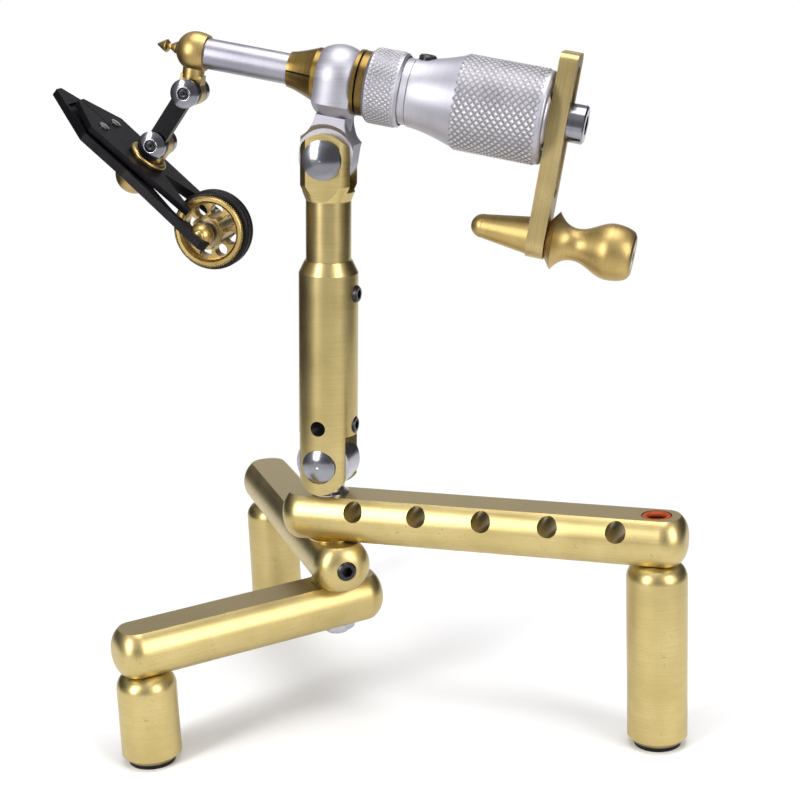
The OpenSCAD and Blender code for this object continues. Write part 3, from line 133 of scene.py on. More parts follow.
ADD, SUBTRACT, MULTIPLY, DIVIDE, MULTIPLY_ADD, LENGTH = (
    {"operation": kind} for kind in ("ADD", "SUBTRACT", "MULTIPLY", "DIVIDE", "MULTIPLY_ADD", "LENGTH"))
COLOUR_MIX = {"data_type": "RGBA"}
SMOOTH = {"interpolation_type": "SMOOTHSTEP"}


def linear(hex_code):
    """An sRGB hex colour as linear red, green, blue and alpha."""
    out = []
    for i in (1, 3, 5):
        c = int(hex_code[i:i + 2], 16) / 255
        out.append(c / 12.92 if c <= 0.04045 else ((c + 0.055) / 1.055) ** 2.4)
    return (*out, 1.0)


def set_stops(ramp_node, stops):
    """Sets a colour ramp's stops from (place, hex colour) pairs."""
    elements = ramp_node.color_ramp.elements
    while len(elements) < len(stops):
        elements.new(0.5)
    for element, (place, colour) in zip(elements, stops):
        element.position = place
        element.color = linear(colour)
    return ramp_node


def new_finish(name):
    """A material with a Principled shader, and its tree."""
    material = bpy.data.materials.new(name)
    material.use_nodes = True
    tree = material.node_tree
    tree.nodes.clear()
    shader = add(tree, "ShaderNodeBsdfPrincipled")
    add(tree, "ShaderNodeOutputMaterial", Surface=shader)
    return material, tree, shader


# Dark, base and light colours. A fourth one is for handling marks, or for the painted shade in a knurl's
# roots
BRASS = ("#B7A46C", "#C3B078", "#CEBB84", "#5E5034")
HANDLED_BRASS = ("#A8905A", "#B59C64", "#C2AA70", "#54462A")
BLASTED_BRASS = ("#AC9868", "#BAA674", "#C8B482", "#5A4A2C")
AGED_BRASS = ("#5E4A26", "#7A6234", "#927A42")
# A greyer brass, painted on the bars' upward faces for the light from above
TOP_TONE_BRASS = "#9A8868"
SATIN_ALUMINIUM = ("#ACAAB2", "#B6B4BC", "#C0BEC6")
# The knurl's fourth colour is the painted shade in its roots
KNURLED = ("#B8B6BA", "#C6C4C8", "#D2D0D4", "#3A383E")
TUBE = ("#94929A", "#9E9CA6", "#A8A6AE")
STEEL = ("#A2A2A8", "#B0B0B6", "#BEBEC4")
# Steel painted darker, as shade in the reflections of polished pins and bolts
SHADED_STEEL = ("#808086", "#8C8C92", "#9A9AA0")

# Real tool lines and blasting grit leave marks about 0.05 mm wide. The lines and the grain are drawn coarser,
# so that they show. The broader patterns are in scale
GRAIN, CLOUD, SPECK, PATCH, MOTTLE = 0.3 * MM, 11 * MM, 0.9 * MM, 13 * MM, 6 * MM
LINE_DEPTH = 0.0025 * MM
# A tool line is this many times as long as it is wide
LINE_STRETCH = 70


def handling_marks(tree, where, colour, mark_or_root_shade, amount):
    """Small dark specks that lie in patches, where fingers hold the metal."""
    speck = add(tree, "ShaderNodeTexNoise", Vector=where, Scale=1 / SPECK, Detail=4.0, Roughness=0.7)
    patch = add(tree, "ShaderNodeTexNoise", Vector=where, Scale=1 / PATCH, Detail=2.0)
    speck_mask = add(tree, "ShaderNodeMapRange", Value=speck, From_Min=0.6, From_Max=0.72, To_Max=amount)
    patch_mask = add(tree, "ShaderNodeMapRange", Value=patch, From_Min=0.42, From_Max=0.62, To_Min=0.1)
    mask = add(tree, "ShaderNodeMath", MULTIPLY, i0=speck_mask, i1=patch_mask)
    return add(tree, "ShaderNodeMix", COLOUR_MIX, i0=mask, i6=colour, i7=linear(mark_or_root_shade)).outputs[2]


def painted_top_tone(tree, colour, amount):
    """The upper faces of a bar are painted a greyer brass, a painted top tone for the light from above."""
    normal = add(tree, "ShaderNodeSeparateXYZ", Vector=add(tree, "ShaderNodeNewGeometry").outputs["Normal"])
    upward = add(tree, "ShaderNodeMapRange", Value=normal.outputs[2], From_Min=0.8, From_Max=1.0,
                 To_Max=amount)
    return add(tree, "ShaderNodeMix", COLOUR_MIX, i0=upward, i6=colour, i7=linear(TOP_TONE_BRASS)).outputs[2]


def painted_root_shade(tree, where, colour, root, low, high):
    """Painted shade: a knurl is painted dark in its roots, and has its full colour from the higher radius on.
    """
    flat = add(tree, "ShaderNodeVectorMath", MULTIPLY, i0=where, i1=(1, 1, 0))
    radius = add(tree, "ShaderNodeVectorMath", LENGTH, i0=flat).outputs["Value"]
    height = add(tree, "ShaderNodeMapRange", Value=radius, From_Min=low, From_Max=high)
    return add(tree, "ShaderNodeMix", COLOUR_MIX, i0=height, i6=linear(root), i7=colour).outputs[2]


def worked_metal(name, point, direction, colours, rough, line_mm=0.14, along=False, wear=0.0, top_tone=0.0,
                 root_shade_radii=None):
    """Turned metal has fine lines round the direction, drawn metal along it, under soft clouds and grain."""
    dark, base, light, *mark_or_root_shade = colours
    material, tree, shader = new_finish(name)
    back = turn_to(direction).transposed()
    where = add(tree, "ShaderNodeMapping", Vector=add(tree, "ShaderNodeTexCoord").outputs["Object"],
                Location=-(back @ point), Rotation=tuple(back.to_euler("XYZ")))
    fine = 1 / (line_mm * MM)
    slow = fine / LINE_STRETCH
    lines = add(tree, "ShaderNodeTexNoise", Scale=1.0, Detail=2.0, Vector=add(
        tree, "ShaderNodeMapping", Vector=where, Scale=(fine, fine, slow) if along else (slow, slow, fine)))
    cloud = add(tree, "ShaderNodeTexNoise", Vector=where, Scale=1 / CLOUD, Detail=3.0)
    grain = add(tree, "ShaderNodeTexNoise", Vector=where, Scale=1 / GRAIN, Detail=1.0)
    drawn = add(tree, "ShaderNodeMath", MULTIPLY, i0=lines, i1=0.4)
    both = add(tree, "ShaderNodeMath", MULTIPLY_ADD, i0=cloud, i1=0.6, i2=drawn)
    tone = set_stops(add(tree, "ShaderNodeValToRGB", Fac=both), [(0.34, dark), (0.5, base), (0.68, light)])
    colour = tone.outputs[0]
    if wear:
        colour = handling_marks(tree, where, colour, *mark_or_root_shade, wear)
    # Painted top tone: upward faces turn a greyer brass
    if top_tone:
        colour = painted_top_tone(tree, colour, top_tone)
    # Painted shade in a knurl's roots
    if root_shade_radii:
        colour = painted_root_shade(tree, where, colour, *mark_or_root_shade, *root_shade_radii)
    tree.links.new(colour, shader.inputs["Base Color"])
    gloss = add(tree, "ShaderNodeMapRange", Value=both, From_Min=0.3, From_Max=0.7, To_Min=rough - 0.04,
                To_Max=rough + 0.05)
    tree.links.new(gloss.outputs[0], shader.inputs["Roughness"])
    surface = add(tree, "ShaderNodeMath", MULTIPLY_ADD, i0=grain, i1=0.5, i2=lines)
    bump = add(tree, "ShaderNodeBump", Height=surface, Distance=LINE_DEPTH)
    tree.links.new(bump.outputs[0], shader.inputs["Normal"])
    shader.inputs["Metallic"].default_value = 1.0
    return material


def fine_grained(name, dark, base, light, grain_mm, rough, gloss_level=0.2, depth_mm=0.006):
    """An oxide, anodised or moulded skin: one even colour, softly mottled by its grain."""
    material, tree, shader = new_finish(name)
    where = add(tree, "ShaderNodeTexCoord").outputs["Object"]
    grain = add(tree, "ShaderNodeTexNoise", Vector=where, Scale=1 / (grain_mm * MM), Detail=3.0)
    cloud = add(tree, "ShaderNodeTexNoise", Vector=where, Scale=1 / MOTTLE, Detail=2.0)
    fine = add(tree, "ShaderNodeMath", MULTIPLY, i0=grain, i1=0.4)
    both = add(tree, "ShaderNodeMath", MULTIPLY_ADD, i0=cloud, i1=0.6, i2=fine)
    tone = set_stops(add(tree, "ShaderNodeValToRGB", Fac=both), [(0.35, dark), (0.5, base), (0.7, light)])
    tree.links.new(tone.outputs[0], shader.inputs["Base Color"])
    gloss = add(tree, "ShaderNodeMapRange", Value=grain, From_Min=0.3, From_Max=0.7, To_Min=rough - 0.05,
                To_Max=rough + 0.07)
    tree.links.new(gloss.outputs[0], shader.inputs["Roughness"])
    bump = add(tree, "ShaderNodeBump", Height=grain, Distance=depth_mm * MM)
    tree.links.new(bump.outputs[0], shader.inputs["Normal"])
    shader.inputs["Specular IOR Level"].default_value = gloss_level
    return material


def paint(names, material):
    """Gives CAD nodes a material in every slot."""
    for name in names.split():
        slots = nodes[name].data.materials
        for i in range(len(slots)):
            slots[i] = material
        if not slots:
            slots.append(material)


# Satin brass under clear lacquer: warm, with broad soft highlights, faint tool lines and specks from handling
# The bars' upper faces get a painted top tone, a greyer brass for the light from above
for bar in ("top_bar", "middle_bar", "low_bar"):
    leg = bar.replace("bar", "leg")
    paint(bar, worked_metal("satin_brass_" + bar, middle_of(bar), bar_direction(bar), BRASS, 0.36,
                            line_mm=0.2, along=True, wear=0.8, top_tone=0.45))
    paint(leg, worked_metal("turned_brass_" + leg, middle_of(leg), UP, BRASS, 0.35, wear=0.5))
paint("sleeve", worked_metal("turned_brass_sleeve", knuckle_at, stem_dir, BRASS, 0.31, wear=0.15))
paint("post", worked_metal("turned_brass_post", knuckle_at, stem_dir, BRASS, 0.3))
# Turned brass in the head, oiled and unlacquered: brown, and darker than the other brass
paint("bearing_bush", worked_metal("turned_brass_bush", shaft_at, shaft_dir, AGED_BRASS, 0.3))
# Blasted brass: matt, with a coarse even grain
paint("crank_arm", worked_metal("blasted_brass_crank_arm", shaft_at, shaft_dir.cross(pin_dir), BLASTED_BRASS,
                                0.42, line_mm=0.4, along=True, wear=0.5))
# Turned brass that is handled in use: a deeper, duller gold
paint("peg knob", worked_metal("turned_brass_handle", knob_at, shaft_dir, HANDLED_BRASS, 0.42, wear=0.35))
paint("ball_end finial", worked_metal("turned_brass_ball_end", shaft_at, shaft_dir, HANDLED_BRASS, 0.4,
                                      wear=0.2))
mount_brass = worked_metal("turned_brass_jaw_mount", jaw_at, jaw_up, HANDLED_BRASS, 0.36)
paint("swivel_mount dome_nut", mount_brass)
wheel_brass = worked_metal("turned_brass_wheel", axle_at, pin_dir, HANDLED_BRASS, 0.34)
paint("wheel near_ball_nut far_ball_nut", wheel_brass)
# Rolled brass sheet, stamped and lacquered: as bright as the bars
paint("upper_bar_washer lower_bar_washer", worked_metal("rolled_brass_washer", knuckle_at, UP, BRASS, 0.3))
# Tarnished brass: brown, with a low sheen
# This brass also paints the shade between the wheel's teeth
tarnished_brass_and_shade = worked_metal("tarnished_brass_collet", shaft_at, shaft_dir, AGED_BRASS, 0.3)
paint("collet drag_washer", tarnished_brass_and_shade)
# Clear anodised aluminium: a cool, even grey with a soft sheen, glossier where it is only turned
paint("head_block", worked_metal("blasted_aluminium_head", middle_of("head_block"), stem_dir, SATIN_ALUMINIUM,
                                 0.5, line_mm=0.3))
paint("drag_nut drum", worked_metal("anodised_aluminium_drum", shaft_at, shaft_dir, SATIN_ALUMINIUM, 0.48))
paint("end_cap", worked_metal("turned_aluminium_cap", shaft_at, shaft_dir, SATIN_ALUMINIUM, 0.4))
# Drawn aluminium tube: a little darker, with a narrow highlight along it
paint("arm_tube", worked_metal("drawn_aluminium_tube", shaft_at, shaft_dir, TUBE, 0.38))
# Stainless steel as it is turned: bright and cool, with clear reflections
turned_steel = worked_metal("turned_steel", knuckle_at, UP, STEEL, 0.24)
paint("base_bolt base_nut stem_foot spindle", turned_steel)
paint("wheel_axle near_nut_screw far_nut_screw fulcrum_pins", turned_steel)
# Polished steel: sharp reflections, dark where the room is dark, its colour painted darker than the turned
# steel as shade
paint("knuckle_pin clevis_pin", worked_metal("polished_steel_pin", knuckle_at, pin_dir, SHADED_STEEL, 0.17,
                                             line_mm=0.3))
paint("upper_joint_bolt upper_joint_nut lower_joint_bolt lower_joint_nut",
      worked_metal("polished_steel_joint_bolt", link_at, pin_dir, SHADED_STEEL, 0.15, line_mm=0.3))
paint("crank_bolt knob_axle", worked_metal("polished_steel_crank_bolt", shaft_at, shaft_dir, SHADED_STEEL, 0.16,
                                           line_mm=0.3))
# Black oxide on ground steel: nearly black, with a soft grey sheen on the flats
# This black also paints the shade in the collet's slits and in the sleeve's open hole
black_oxide_and_shade = fine_grained("black_oxide_steel", "#0C0B0D", "#110F12", "#1B181C", 0.25, 0.3, gloss_level=0.1,
                           depth_mm=0.002)
paint("jaw_plate near_jaw far_jaw link", black_oxide_and_shade)
# Blued steel screws: black, with small bright glints at their edges
# This black also fills the joint bolts' sockets, as painted shade and oil
blued_steel_and_shade = fine_grained("blued_steel_screw", "#0B0A0C", "#121013", "#1C1A1E", 0.25, 0.28, gloss_level=0.45)
paint("sleeve_set_screws bar_set_screw drum_set_screw upper_joint_washer lower_joint_washer", blued_steel_and_shade)
# Turned acetal: a soft black, a little milky
paint("drag_ring", fine_grained("black_acetal", "#100F11", "#161418", "#211E23", 0.3, 0.42))
# Moulded rubber, nitrile on the feet and the wheel and silicone in the socket: matt and even
paint("top_foot middle_foot low_foot tyres", fine_grained("black_nitrile_rubber", "#0B0A0C", "#100E11",
                                                          "#181519", 0.35, 0.45, depth_mm=0.01))
paint("socket_ring", fine_grained("red_silicone_ring", "#8A3616", "#A0421C", "#B65428", 0.35, 0.45))


def make_piece(name, mesh, body):
    """Makes a finished mesh a piece that rides on a body."""
    piece = bpy.data.objects.new(name, mesh)
    bpy.context.scene.collection.objects.link(piece)
    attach(piece, body)


# Geometry Nodes for what repeats
def new_tree(name, **inputs):
    """A geometry tree with named inputs, and the sockets that give their values."""
    kinds = {int: "NodeSocketInt", float: "NodeSocketFloat", bpy.types.Material: "NodeSocketMaterial"}
    tree = bpy.data.node_groups.new(name, "GeometryNodeTree")
    tree.interface.new_socket("Geometry", in_out="OUTPUT", socket_type="NodeSocketGeometry")
    for key, kind in inputs.items():
        tree.interface.new_socket(key, in_out="INPUT", socket_type=kinds[kind])
    return tree, tree.nodes.new("NodeGroupInput").outputs


def diamond_knurl():
    """Four-sided points in offset rows, laid out flat and then wrapped round the axis Z."""
    tree, given = new_tree("diamond_knurl", Around=int, Rows=int, Radius=float, Length=float, Proud=float,
                           Sink=float, Finish=bpy.types.Material)
    around, rows, radius, length, proud, sink = (given[name] for name in (
        "Around", "Rows", "Radius", "Length", "Proud", "Sink"))
    # Each point's row and column, with every second row half a step on
    counted = add(tree, "ShaderNodeMath", ADD, i0=add(tree, "GeometryNodeInputIndex"), i1=0.5)
    row = add(tree, "ShaderNodeMath", {"operation": "FLOOR"},
              i0=add(tree, "ShaderNodeMath", DIVIDE, i0=counted, i1=around))
    column = add(tree, "ShaderNodeMath", SUBTRACT, i0=add(tree, "GeometryNodeInputIndex"),
                 i1=add(tree, "ShaderNodeMath", MULTIPLY, i0=row, i1=around))
    odd = add(tree, "ShaderNodeMath", {"operation": "MODULO"}, i0=row, i1=2.0)
    step = add(tree, "ShaderNodeMath", MULTIPLY_ADD, i0=odd, i1=0.5, i2=column)
    # The pitch along the axis and round it, from the length and the radius
    tall = add(tree, "ShaderNodeMath", DIVIDE, i0=length,
               i1=add(tree, "ShaderNodeMath", ADD, i0=rows, i1=1.0))
    wide = add(tree, "ShaderNodeMath", DIVIDE, i1=around,
               i0=add(tree, "ShaderNodeMath", MULTIPLY, i0=radius, i1=math.tau))
    place = add(tree, "ShaderNodeCombineXYZ", X=add(tree, "ShaderNodeMath", MULTIPLY, i0=step, i1=wide),
                Y=add(tree, "ShaderNodeMath", MULTIPLY_ADD, i0=row, i1=tall, i2=tall),
                Z=add(tree, "ShaderNodeMath", MULTIPLY, i0=sink, i1=-1.0))
    points = add(tree, "GeometryNodePoints", Position=place,
                 Count=add(tree, "ShaderNodeMath", MULTIPLY, i0=around, i1=rows))
    point = add(tree, "GeometryNodeMeshCone", {"fill_type": "NONE"}, Vertices=4, Radius_Top=0.0,
                Radius_Bottom=1.0, Depth=1.0)
    size = add(tree, "ShaderNodeCombineXYZ", X=add(tree, "ShaderNodeMath", MULTIPLY, i0=wide, i1=0.5), Y=tall,
               Z=add(tree, "ShaderNodeMath", ADD, i0=proud, i1=sink))
    laid = add(tree, "GeometryNodeInstanceOnPoints", Points=points, Instance=point, Scale=size)
    real = add(tree, "GeometryNodeRealizeInstances", Geometry=laid)
    # The flat sheet is bent round the axis: X becomes the angle, Y the height and Z the radius
    flat = add(tree, "ShaderNodeSeparateXYZ", Vector=add(tree, "GeometryNodeInputPosition"))
    angle = add(tree, "ShaderNodeMath", DIVIDE, i0=flat.outputs[0], i1=radius)
    out = add(tree, "ShaderNodeMath", ADD, i0=radius, i1=flat.outputs[2])
    cosine = add(tree, "ShaderNodeMath", {"operation": "COSINE"}, i0=angle)
    sine = add(tree, "ShaderNodeMath", {"operation": "SINE"}, i0=angle)
    wrapped = add(tree, "ShaderNodeCombineXYZ", X=add(tree, "ShaderNodeMath", MULTIPLY, i0=out, i1=cosine),
                  Y=add(tree, "ShaderNodeMath", MULTIPLY, i0=out, i1=sine), Z=flat.outputs[1])
    bent = add(tree, "GeometryNodeSetPosition", Geometry=real, Position=wrapped)
    done = add(tree, "GeometryNodeSetMaterial", Geometry=bent, Material=given["Finish"])
    add(tree, "NodeGroupOutput", i0=done)
    return tree


def rim_teeth():
    """Short straight teeth round the axis Z, as on a coin's edge."""
    tree, given = new_tree("rim_teeth", Teeth=int, Radius=float, Width=float, Length=float, Proud=float,
                           Finish=bpy.types.Material)
    ring = add(tree, "GeometryNodeMeshCircle", Vertices=given["Teeth"], Radius=given["Radius"])
    points = add(tree, "GeometryNodeMeshToPoints", Mesh=ring)
    tooth = add(tree, "GeometryNodeMeshCylinder", Vertices=6, Radius=1.0, Depth=1.0)
    outward = add(tree, "FunctionNodeAlignRotationToVector", {"axis": "X"},
                  Vector=add(tree, "GeometryNodeInputPosition"))
    size = add(tree, "ShaderNodeCombineXYZ", X=given["Proud"], Y=given["Width"], Z=given["Length"])
    laid = add(tree, "GeometryNodeInstanceOnPoints", Points=points, Instance=tooth, Rotation=outward,
               Scale=size)
    real = add(tree, "GeometryNodeRealizeInstances", Geometry=laid)
    done = add(tree, "GeometryNodeSetMaterial", Geometry=real, Material=given["Finish"])
    add(tree, "NodeGroupOutput", i0=done)
    return tree


def grown(name, tree, place, body, slot_name, **values):
    """Runs a geometry tree, and makes the result a plain mesh at its place and a piece of a body."""
    holder = bpy.data.objects.new(name + "_holder", bpy.data.meshes.new(name + "_holder"))
    bpy.context.scene.collection.objects.link(holder)
    modifier = holder.modifiers.new("grow", "NODES")
    modifier.node_group = tree
    for item in tree.interface.items_tree:
        if item.in_out == "INPUT":
            modifier[item.identifier] = values[item.name]
    holder.update_tag()
    bpy.context.view_layer.update()
    mesh = bpy.data.meshes.new_from_object(holder.evaluated_get(bpy.context.evaluated_depsgraph_get()))
    mesh.transform(place)
    bpy.data.objects.remove(holder)
    mesh.name = name
    make_piece(name, mesh, body)


# The knurls: points round and rows, a point's height, the plain bevel at each end, and the knurled length
# where it doesn't reach from bevel to bevel. From full_colour_at, a share of its height, a point has its full
# colour; below that it is painted darker, as shade in the roots
knurl = diamond_knurl()
sink, full_colour_at = 0.03 * MM, 0.4
for node, body, around, rows, proud, start_bevel, end_bevel, knurled_len in (
        ("drum", "rotor", 36, 24, 0.42 * MM, 0.0, 1.3 * MM, 21.9 * MM),
        ("drag_nut", "drag_nut", 46, 9, 0.27 * MM, 0.8 * MM, 0.9 * MM, None)):
    start, end, radius = reach_along(node, shaft_at, shaft_dir)
    first = end - end_bevel - knurled_len if knurled_len else start + start_bevel
    # Knurled aluminium, clear anodised: bright points, with painted shade in the roots between them
    finish = worked_metal("knurled_aluminium_" + node, shaft_at, shaft_dir, KNURLED, 0.5,
                          root_shade_radii=(radius - sink, radius + full_colour_at * proud))
    grown(node + "_knurl", knurl, place_on(shaft_at + shaft_dir * first, shaft_dir), body, "silver",
          Around=around, Rows=rows, Radius=radius, Length=end - end_bevel - first, Proud=proud, Sink=sink,
          Finish=finish)

# The wheel's edge has 100 teeth in a band near its front face
_, _, rim_radius = reach_along("wheel", axle_at, near_side)
rim_face, tooth_inset, tooth_len = 3.9 * MM, 0.25 * MM, 1.1 * MM
rim_place = place_on(axle_at + near_side * (rim_face - tooth_inset - tooth_len / 2), near_side)
grown("wheel_rim_teeth", rim_teeth(), rim_place, "wheel", "gold", Teeth=100, Radius=rim_radius,
      Width=0.15 * MM, Length=tooth_len, Proud=0.32 * MM, Finish=wheel_brass)


# Small turned pieces. Their sizes are in mm, and an outline that reaches the axis stops at AXIS_R
AXIS_R = 0.01


def turned(name, profile, place, body, finish, sides=48):
    """A closed outline of (radius, height) pairs, counterclockwise, turned round the axis Z of its place."""
    ring = len(profile)
    points = [(r * math.cos(a) * MM, r * math.sin(a) * MM, z * MM)
              for a in (math.tau * i / sides for i in range(sides)) for r, z in profile]
    faces = [(i * ring + j, ((i + 1) % sides) * ring + j, ((i + 1) % sides) * ring + (j + 1) % ring,
              i * ring + (j + 1) % ring) for i in range(sides) for j in range(ring)]
    mesh = bpy.data.meshes.new(name)
    mesh.from_pydata(points, [], faces)
    mesh.transform(place)
    mesh.materials.append(finish)
    for face in mesh.polygons:
        face.use_smooth = True
    make_piece(name, mesh, body)


def round_section(centre_r, centre_z, half_w, half_h, count=14):
    """An oval section for a ring, from its middle and its half sizes."""
    return [(centre_r + half_w * math.cos(a), centre_z + half_h * math.sin(a))
            for a in (math.tau * i / count for i in range(count))]


# Each joint bolt's near end has a socket with a rounded rim, filled by a dark disc: painted shade and oil in
# it
socket_r, socket_depth, socket_crown = 1.65, 0.3, 0.02
rim_r, rim_depth, rim_half_w, rim_half_h = 1.78, 0.1, 0.2, 0.16
for node, hinge_at, body in (("upper_joint_bolt", link_at, "arm"),
                             ("lower_joint_bolt", jaw_hinge_at, "jaw_mount")):
    _, top, _ = reach_along(node, hinge_at, near_side)
    bolt_end = place_on(hinge_at + near_side * top, near_side)
    # The dark disc is painted shade and oil in the socket
    turned(node + "_socket", [(AXIS_R, socket_crown), (AXIS_R, -socket_depth), (socket_r, -socket_depth),
                              (socket_r, 0.0)], bolt_end, body, blued_steel_and_shade)
    turned(node + "_rim", round_section(rim_r, -rim_depth, rim_half_w, rim_half_h), bolt_end, body,
           turned_steel)

# A rounded collar closes the foot of the swivel mount
collar_r, collar_down, collar_half_w, collar_half_h = 4.55, 4.62, 0.95, 0.72
turned("swivel_collar", round_section(collar_r, -collar_down, collar_half_w, collar_half_h),
       place_on(jaw_hinge_at, jaw_up), "jaw_mount", mount_brass, sides=72)

# The sleeve's open hole has a dark lining and bottom inside its wall: its thread and the painted shade in it
sleeve_r, hole_up = 8.0, 10.9
hole_r, thread_shade_r, thread_shade_from, bottom_at, back_at = 2.08, 1.98, -0.4, -1.6, -1.85
turned("open_hole_thread_shade", [(hole_r, back_at), (hole_r, thread_shade_from), (thread_shade_r, thread_shade_from),
                            (thread_shade_r, bottom_at), (AXIS_R, bottom_at), (AXIS_R, back_at)],
       place_on(knuckle_at + stem_dir * (hole_up * MM) + knuckle_side * (sleeve_r * MM), knuckle_side),
       "sleeve", black_oxide_and_shade)

# The ball nuts' outer ends are closed by thin domed plugs, clear of the axle also when the jaws are open
ball_r, bore_r, plug_depth, ball_at = 3.4, 1.76, 2.88, 9.4
dome = [(r, math.sqrt(ball_r ** 2 - r ** 2)) for r in (bore_r, 1.3, 0.9, 0.5, AXIS_R)]
for side, way in (("near", near_side), ("far", -near_side)):
    turned(side + "_ball_plug", [(AXIS_R, plug_depth), (bore_r, plug_depth), *dome],
           place_on(axle_at + way * ball_at * MM, way), side + "_jaw", wheel_brass)

# A darker brass band under the teeth of the wheel's edge paints the shade between them
edge_r, band_sink, band_proud, band_half = rim_radius / MM, 0.1, 0.03, 0.6
turned("wheel_rim_shade_band", [(edge_r - band_sink, -band_half), (edge_r + band_proud, -band_half),
                          (edge_r + band_proud, band_half), (edge_r - band_sink, band_half)],
       rim_place, "wheel", tarnished_brass_and_shade, sides=96)


def slit_shades(name, body):
    """Dark strips of painted shade that fill the collet's four slits to just under its cone."""
    start, _, _ = reach_along("collet", shaft_at, shaft_dir)
    # The cone's radii, the slit's length, the bore, half a slit's width and the depth under the cone, in mm
    small_r, wide_r, slit_len, inner_r, half_w, under = 4.6, 7.0, 7.3, 4.02, 0.24, 0.06
    flare, steps = 1.25, 8
    cone = [(slit_len * q, small_r + (wide_r - small_r) * q ** flare - under)
            for q in (i / steps for i in range(steps + 1))]
    outline = [(0.0, inner_r), *cone, (slit_len, inner_r)]
    points, faces = [], []
    across = (near_side - shaft_dir * near_side.dot(shaft_dir)).normalized()
    for out in (across, -across, shaft_dir.cross(across), -shaft_dir.cross(across)):
        first, count = len(points), len(outline)
        for w in (half_w, -half_w):
            points += [shaft_at + shaft_dir * (start + z * MM) + out * (r * MM)
                       + out.cross(shaft_dir) * (w * MM) for z, r in outline]
        faces += [[first + i for i in range(count)], [first + count + i for i in reversed(range(count))]]
        faces += [[first + i, first + count + i, first + count + (i + 1) % count, first + (i + 1) % count]
                  for i in range(count)]
    mesh = bpy.data.meshes.new(name)
    mesh.from_pydata(points, [], faces)
    # The strips are painted shade, in the same black as the oxide
    mesh.materials.append(black_oxide_and_shade)
    make_piece(name, mesh, body)


slit_shades("collet_slit_shade", "rotor")


# Studio: a white table and backdrop, soft lamps, and a darker room round them
def studio_world():
    """The camera sees white. The metal sees a white backdrop, dark sides, light walls near the camera, a grey
    place where the camera stands, and a light ceiling."""
    world = bpy.data.worlds.new("studio")
    bpy.context.scene.world = world
    world.use_nodes = True
    tree = world.node_tree
    tree.nodes.clear()
    camera_side = Vector((0.25, -0.97, 0.0))
    look = add(tree, "ShaderNodeTexCoord").outputs["Generated"]
    facing = add(tree, "ShaderNodeVectorMath", {"operation": "DOT_PRODUCT"}, i0=look, i1=camera_side)
    turn_round = add(tree, "ShaderNodeMapRange", Value=facing.outputs["Value"], From_Min=-1.0)
    walls = set_stops(add(tree, "ShaderNodeValToRGB", Fac=turn_round), [
        (0.0, "#FFFFFF"), (0.03, "#F0F0F0"), (0.07, "#404044"), (0.4, "#38383C"), (0.62, "#6A6A6E"),
        (0.85, "#C4C4C8"), (0.98, "#808084")])
    height = add(tree, "ShaderNodeMapRange", SMOOTH, From_Min=0.35, From_Max=0.8,
                 Value=add(tree, "ShaderNodeSeparateXYZ", Vector=look).outputs[2])
    room = add(tree, "ShaderNodeMix", COLOUR_MIX, i0=height, i6=walls, i7=linear("#C0C0C4")).outputs[2]
    path = add(tree, "ShaderNodeLightPath")
    shown = add(tree, "ShaderNodeMix", COLOUR_MIX, i0=path.outputs["Is Camera Ray"], i6=room,
                i7=linear("#FFFFFF")).outputs[2]
    add(tree, "ShaderNodeOutputWorld", Surface=add(tree, "ShaderNodeBackground", Color=shown, Strength=1.0))


def white_card(shadow_r=0.14, white_r=0.28):
    """Matt white card that holds the vise's shadow near it, and turns to the white backdrop farther out."""
    card, tree, shader = new_finish("matt_white_card")
    shader.inputs["Base Color"].default_value = linear("#F6F6F6")
    shader.inputs["Roughness"].default_value = 0.9
    distance = add(tree, "ShaderNodeVectorMath", LENGTH, i0=add(tree, "ShaderNodeTexCoord").outputs["Object"])
    far_out = add(tree, "ShaderNodeMapRange", SMOOTH, Value=distance.outputs["Value"], From_Min=shadow_r,
                  From_Max=white_r)
    path = add(tree, "ShaderNodeLightPath")
    seen = add(tree, "ShaderNodeMath", {"operation": "MAXIMUM"}, i0=path.outputs["Is Camera Ray"],
               i1=path.outputs["Is Glossy Ray"])
    glow = add(tree, "ShaderNodeEmission", Color=linear("#FFFFFF"), Strength=1.0)
    blend = add(tree, "ShaderNodeMixShader", i0=add(tree, "ShaderNodeMath", MULTIPLY, i0=far_out, i1=seen),
                i1=shader, i2=glow)
    tree.links.new(blend.outputs[0], tree.nodes["Material Output"].inputs["Surface"])
    return card


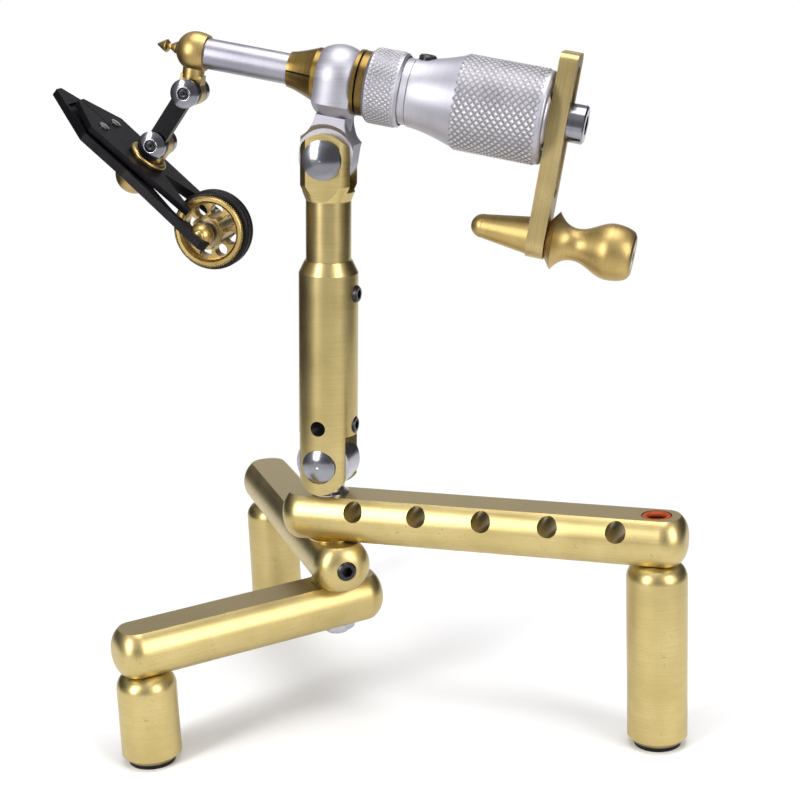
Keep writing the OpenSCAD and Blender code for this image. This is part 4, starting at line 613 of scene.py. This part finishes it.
def white_table(half=0.3, front=-0.7, back=3.0):
    """A strip that runs out far behind the vise, in metres."""
    mesh = bpy.data.meshes.new("table")
    mesh.from_pydata([(-half, front, 0), (half, front, 0), (half, back, 0), (-half, back, 0)], [],
                     [(0, 1, 2, 3)])
    mesh.materials.append(white_card())
    table = bpy.data.objects.new("table", mesh)
    bpy.context.scene.collection.objects.link(table)


def soft_light(name, place, size, power):
    """A rectangular soft box that faces the vise's middle, with its size in metres and its power in watts."""
    lamp = bpy.data.lights.new(name, "AREA")
    lamp.shape = "RECTANGLE"
    lamp.size, lamp.size_y = size
    lamp.energy = power
    box = bpy.data.objects.new(name, lamp)
    bpy.context.scene.collection.objects.link(box)
    box.location = place
    vise_middle = Vector((0, 0, 0.1))
    box.rotation_euler = (vise_middle - Vector(place)).to_track_quat("-Z", "Y").to_euler()


def photo_camera():
    """A camera fitted to the photograph's edges and the places of the feet."""
    yaw, pitch, roll = (math.radians(a) for a in (14.44, 14.55, -2.47))
    # From the base bolt to the right and to the front, and up from the table
    eye_right, eye_near, eye_up = 128.0 * MM, 424.6 * MM, 206.9 * MM
    right = Vector((math.cos(yaw), math.sin(yaw), 0))
    forward = Vector((-math.sin(yaw) * math.cos(pitch), math.cos(yaw) * math.cos(pitch), -math.sin(pitch)))
    up = right.cross(forward)
    camera = bpy.data.cameras.new("camera")
    camera.lens = 75.56
    camera.sensor_width = 36.0
    camera.shift_x = 0.011
    camera.shift_y = -0.011
    camera.clip_start = 0.01
    eye = bpy.data.objects.new("camera", camera)
    bpy.context.scene.collection.objects.link(eye)
    turn = Matrix((right * math.cos(roll) + up * math.sin(roll), up * math.cos(roll) - right * math.sin(roll),
                   -forward)).transposed().to_4x4()
    bolt = middle_of("base_bolt")
    turn.translation = Vector((bolt.x + eye_right, bolt.y - eye_near, eye_up))
    eye.matrix_world = turn
    bpy.context.scene.camera = eye


studio_world()
white_table()
soft_light("right_box", (0.77, -0.46, 0.42), (0.45, 0.7), 5.0)
soft_light("left_box", (-0.46, -0.77, 0.45), (0.22, 0.7), 6.0)
soft_light("top_box", (0.05, 0.0, 0.95), (0.7, 0.5), 5.0)
photo_camera()
bpy.context.scene.view_settings.view_transform = "Standard"
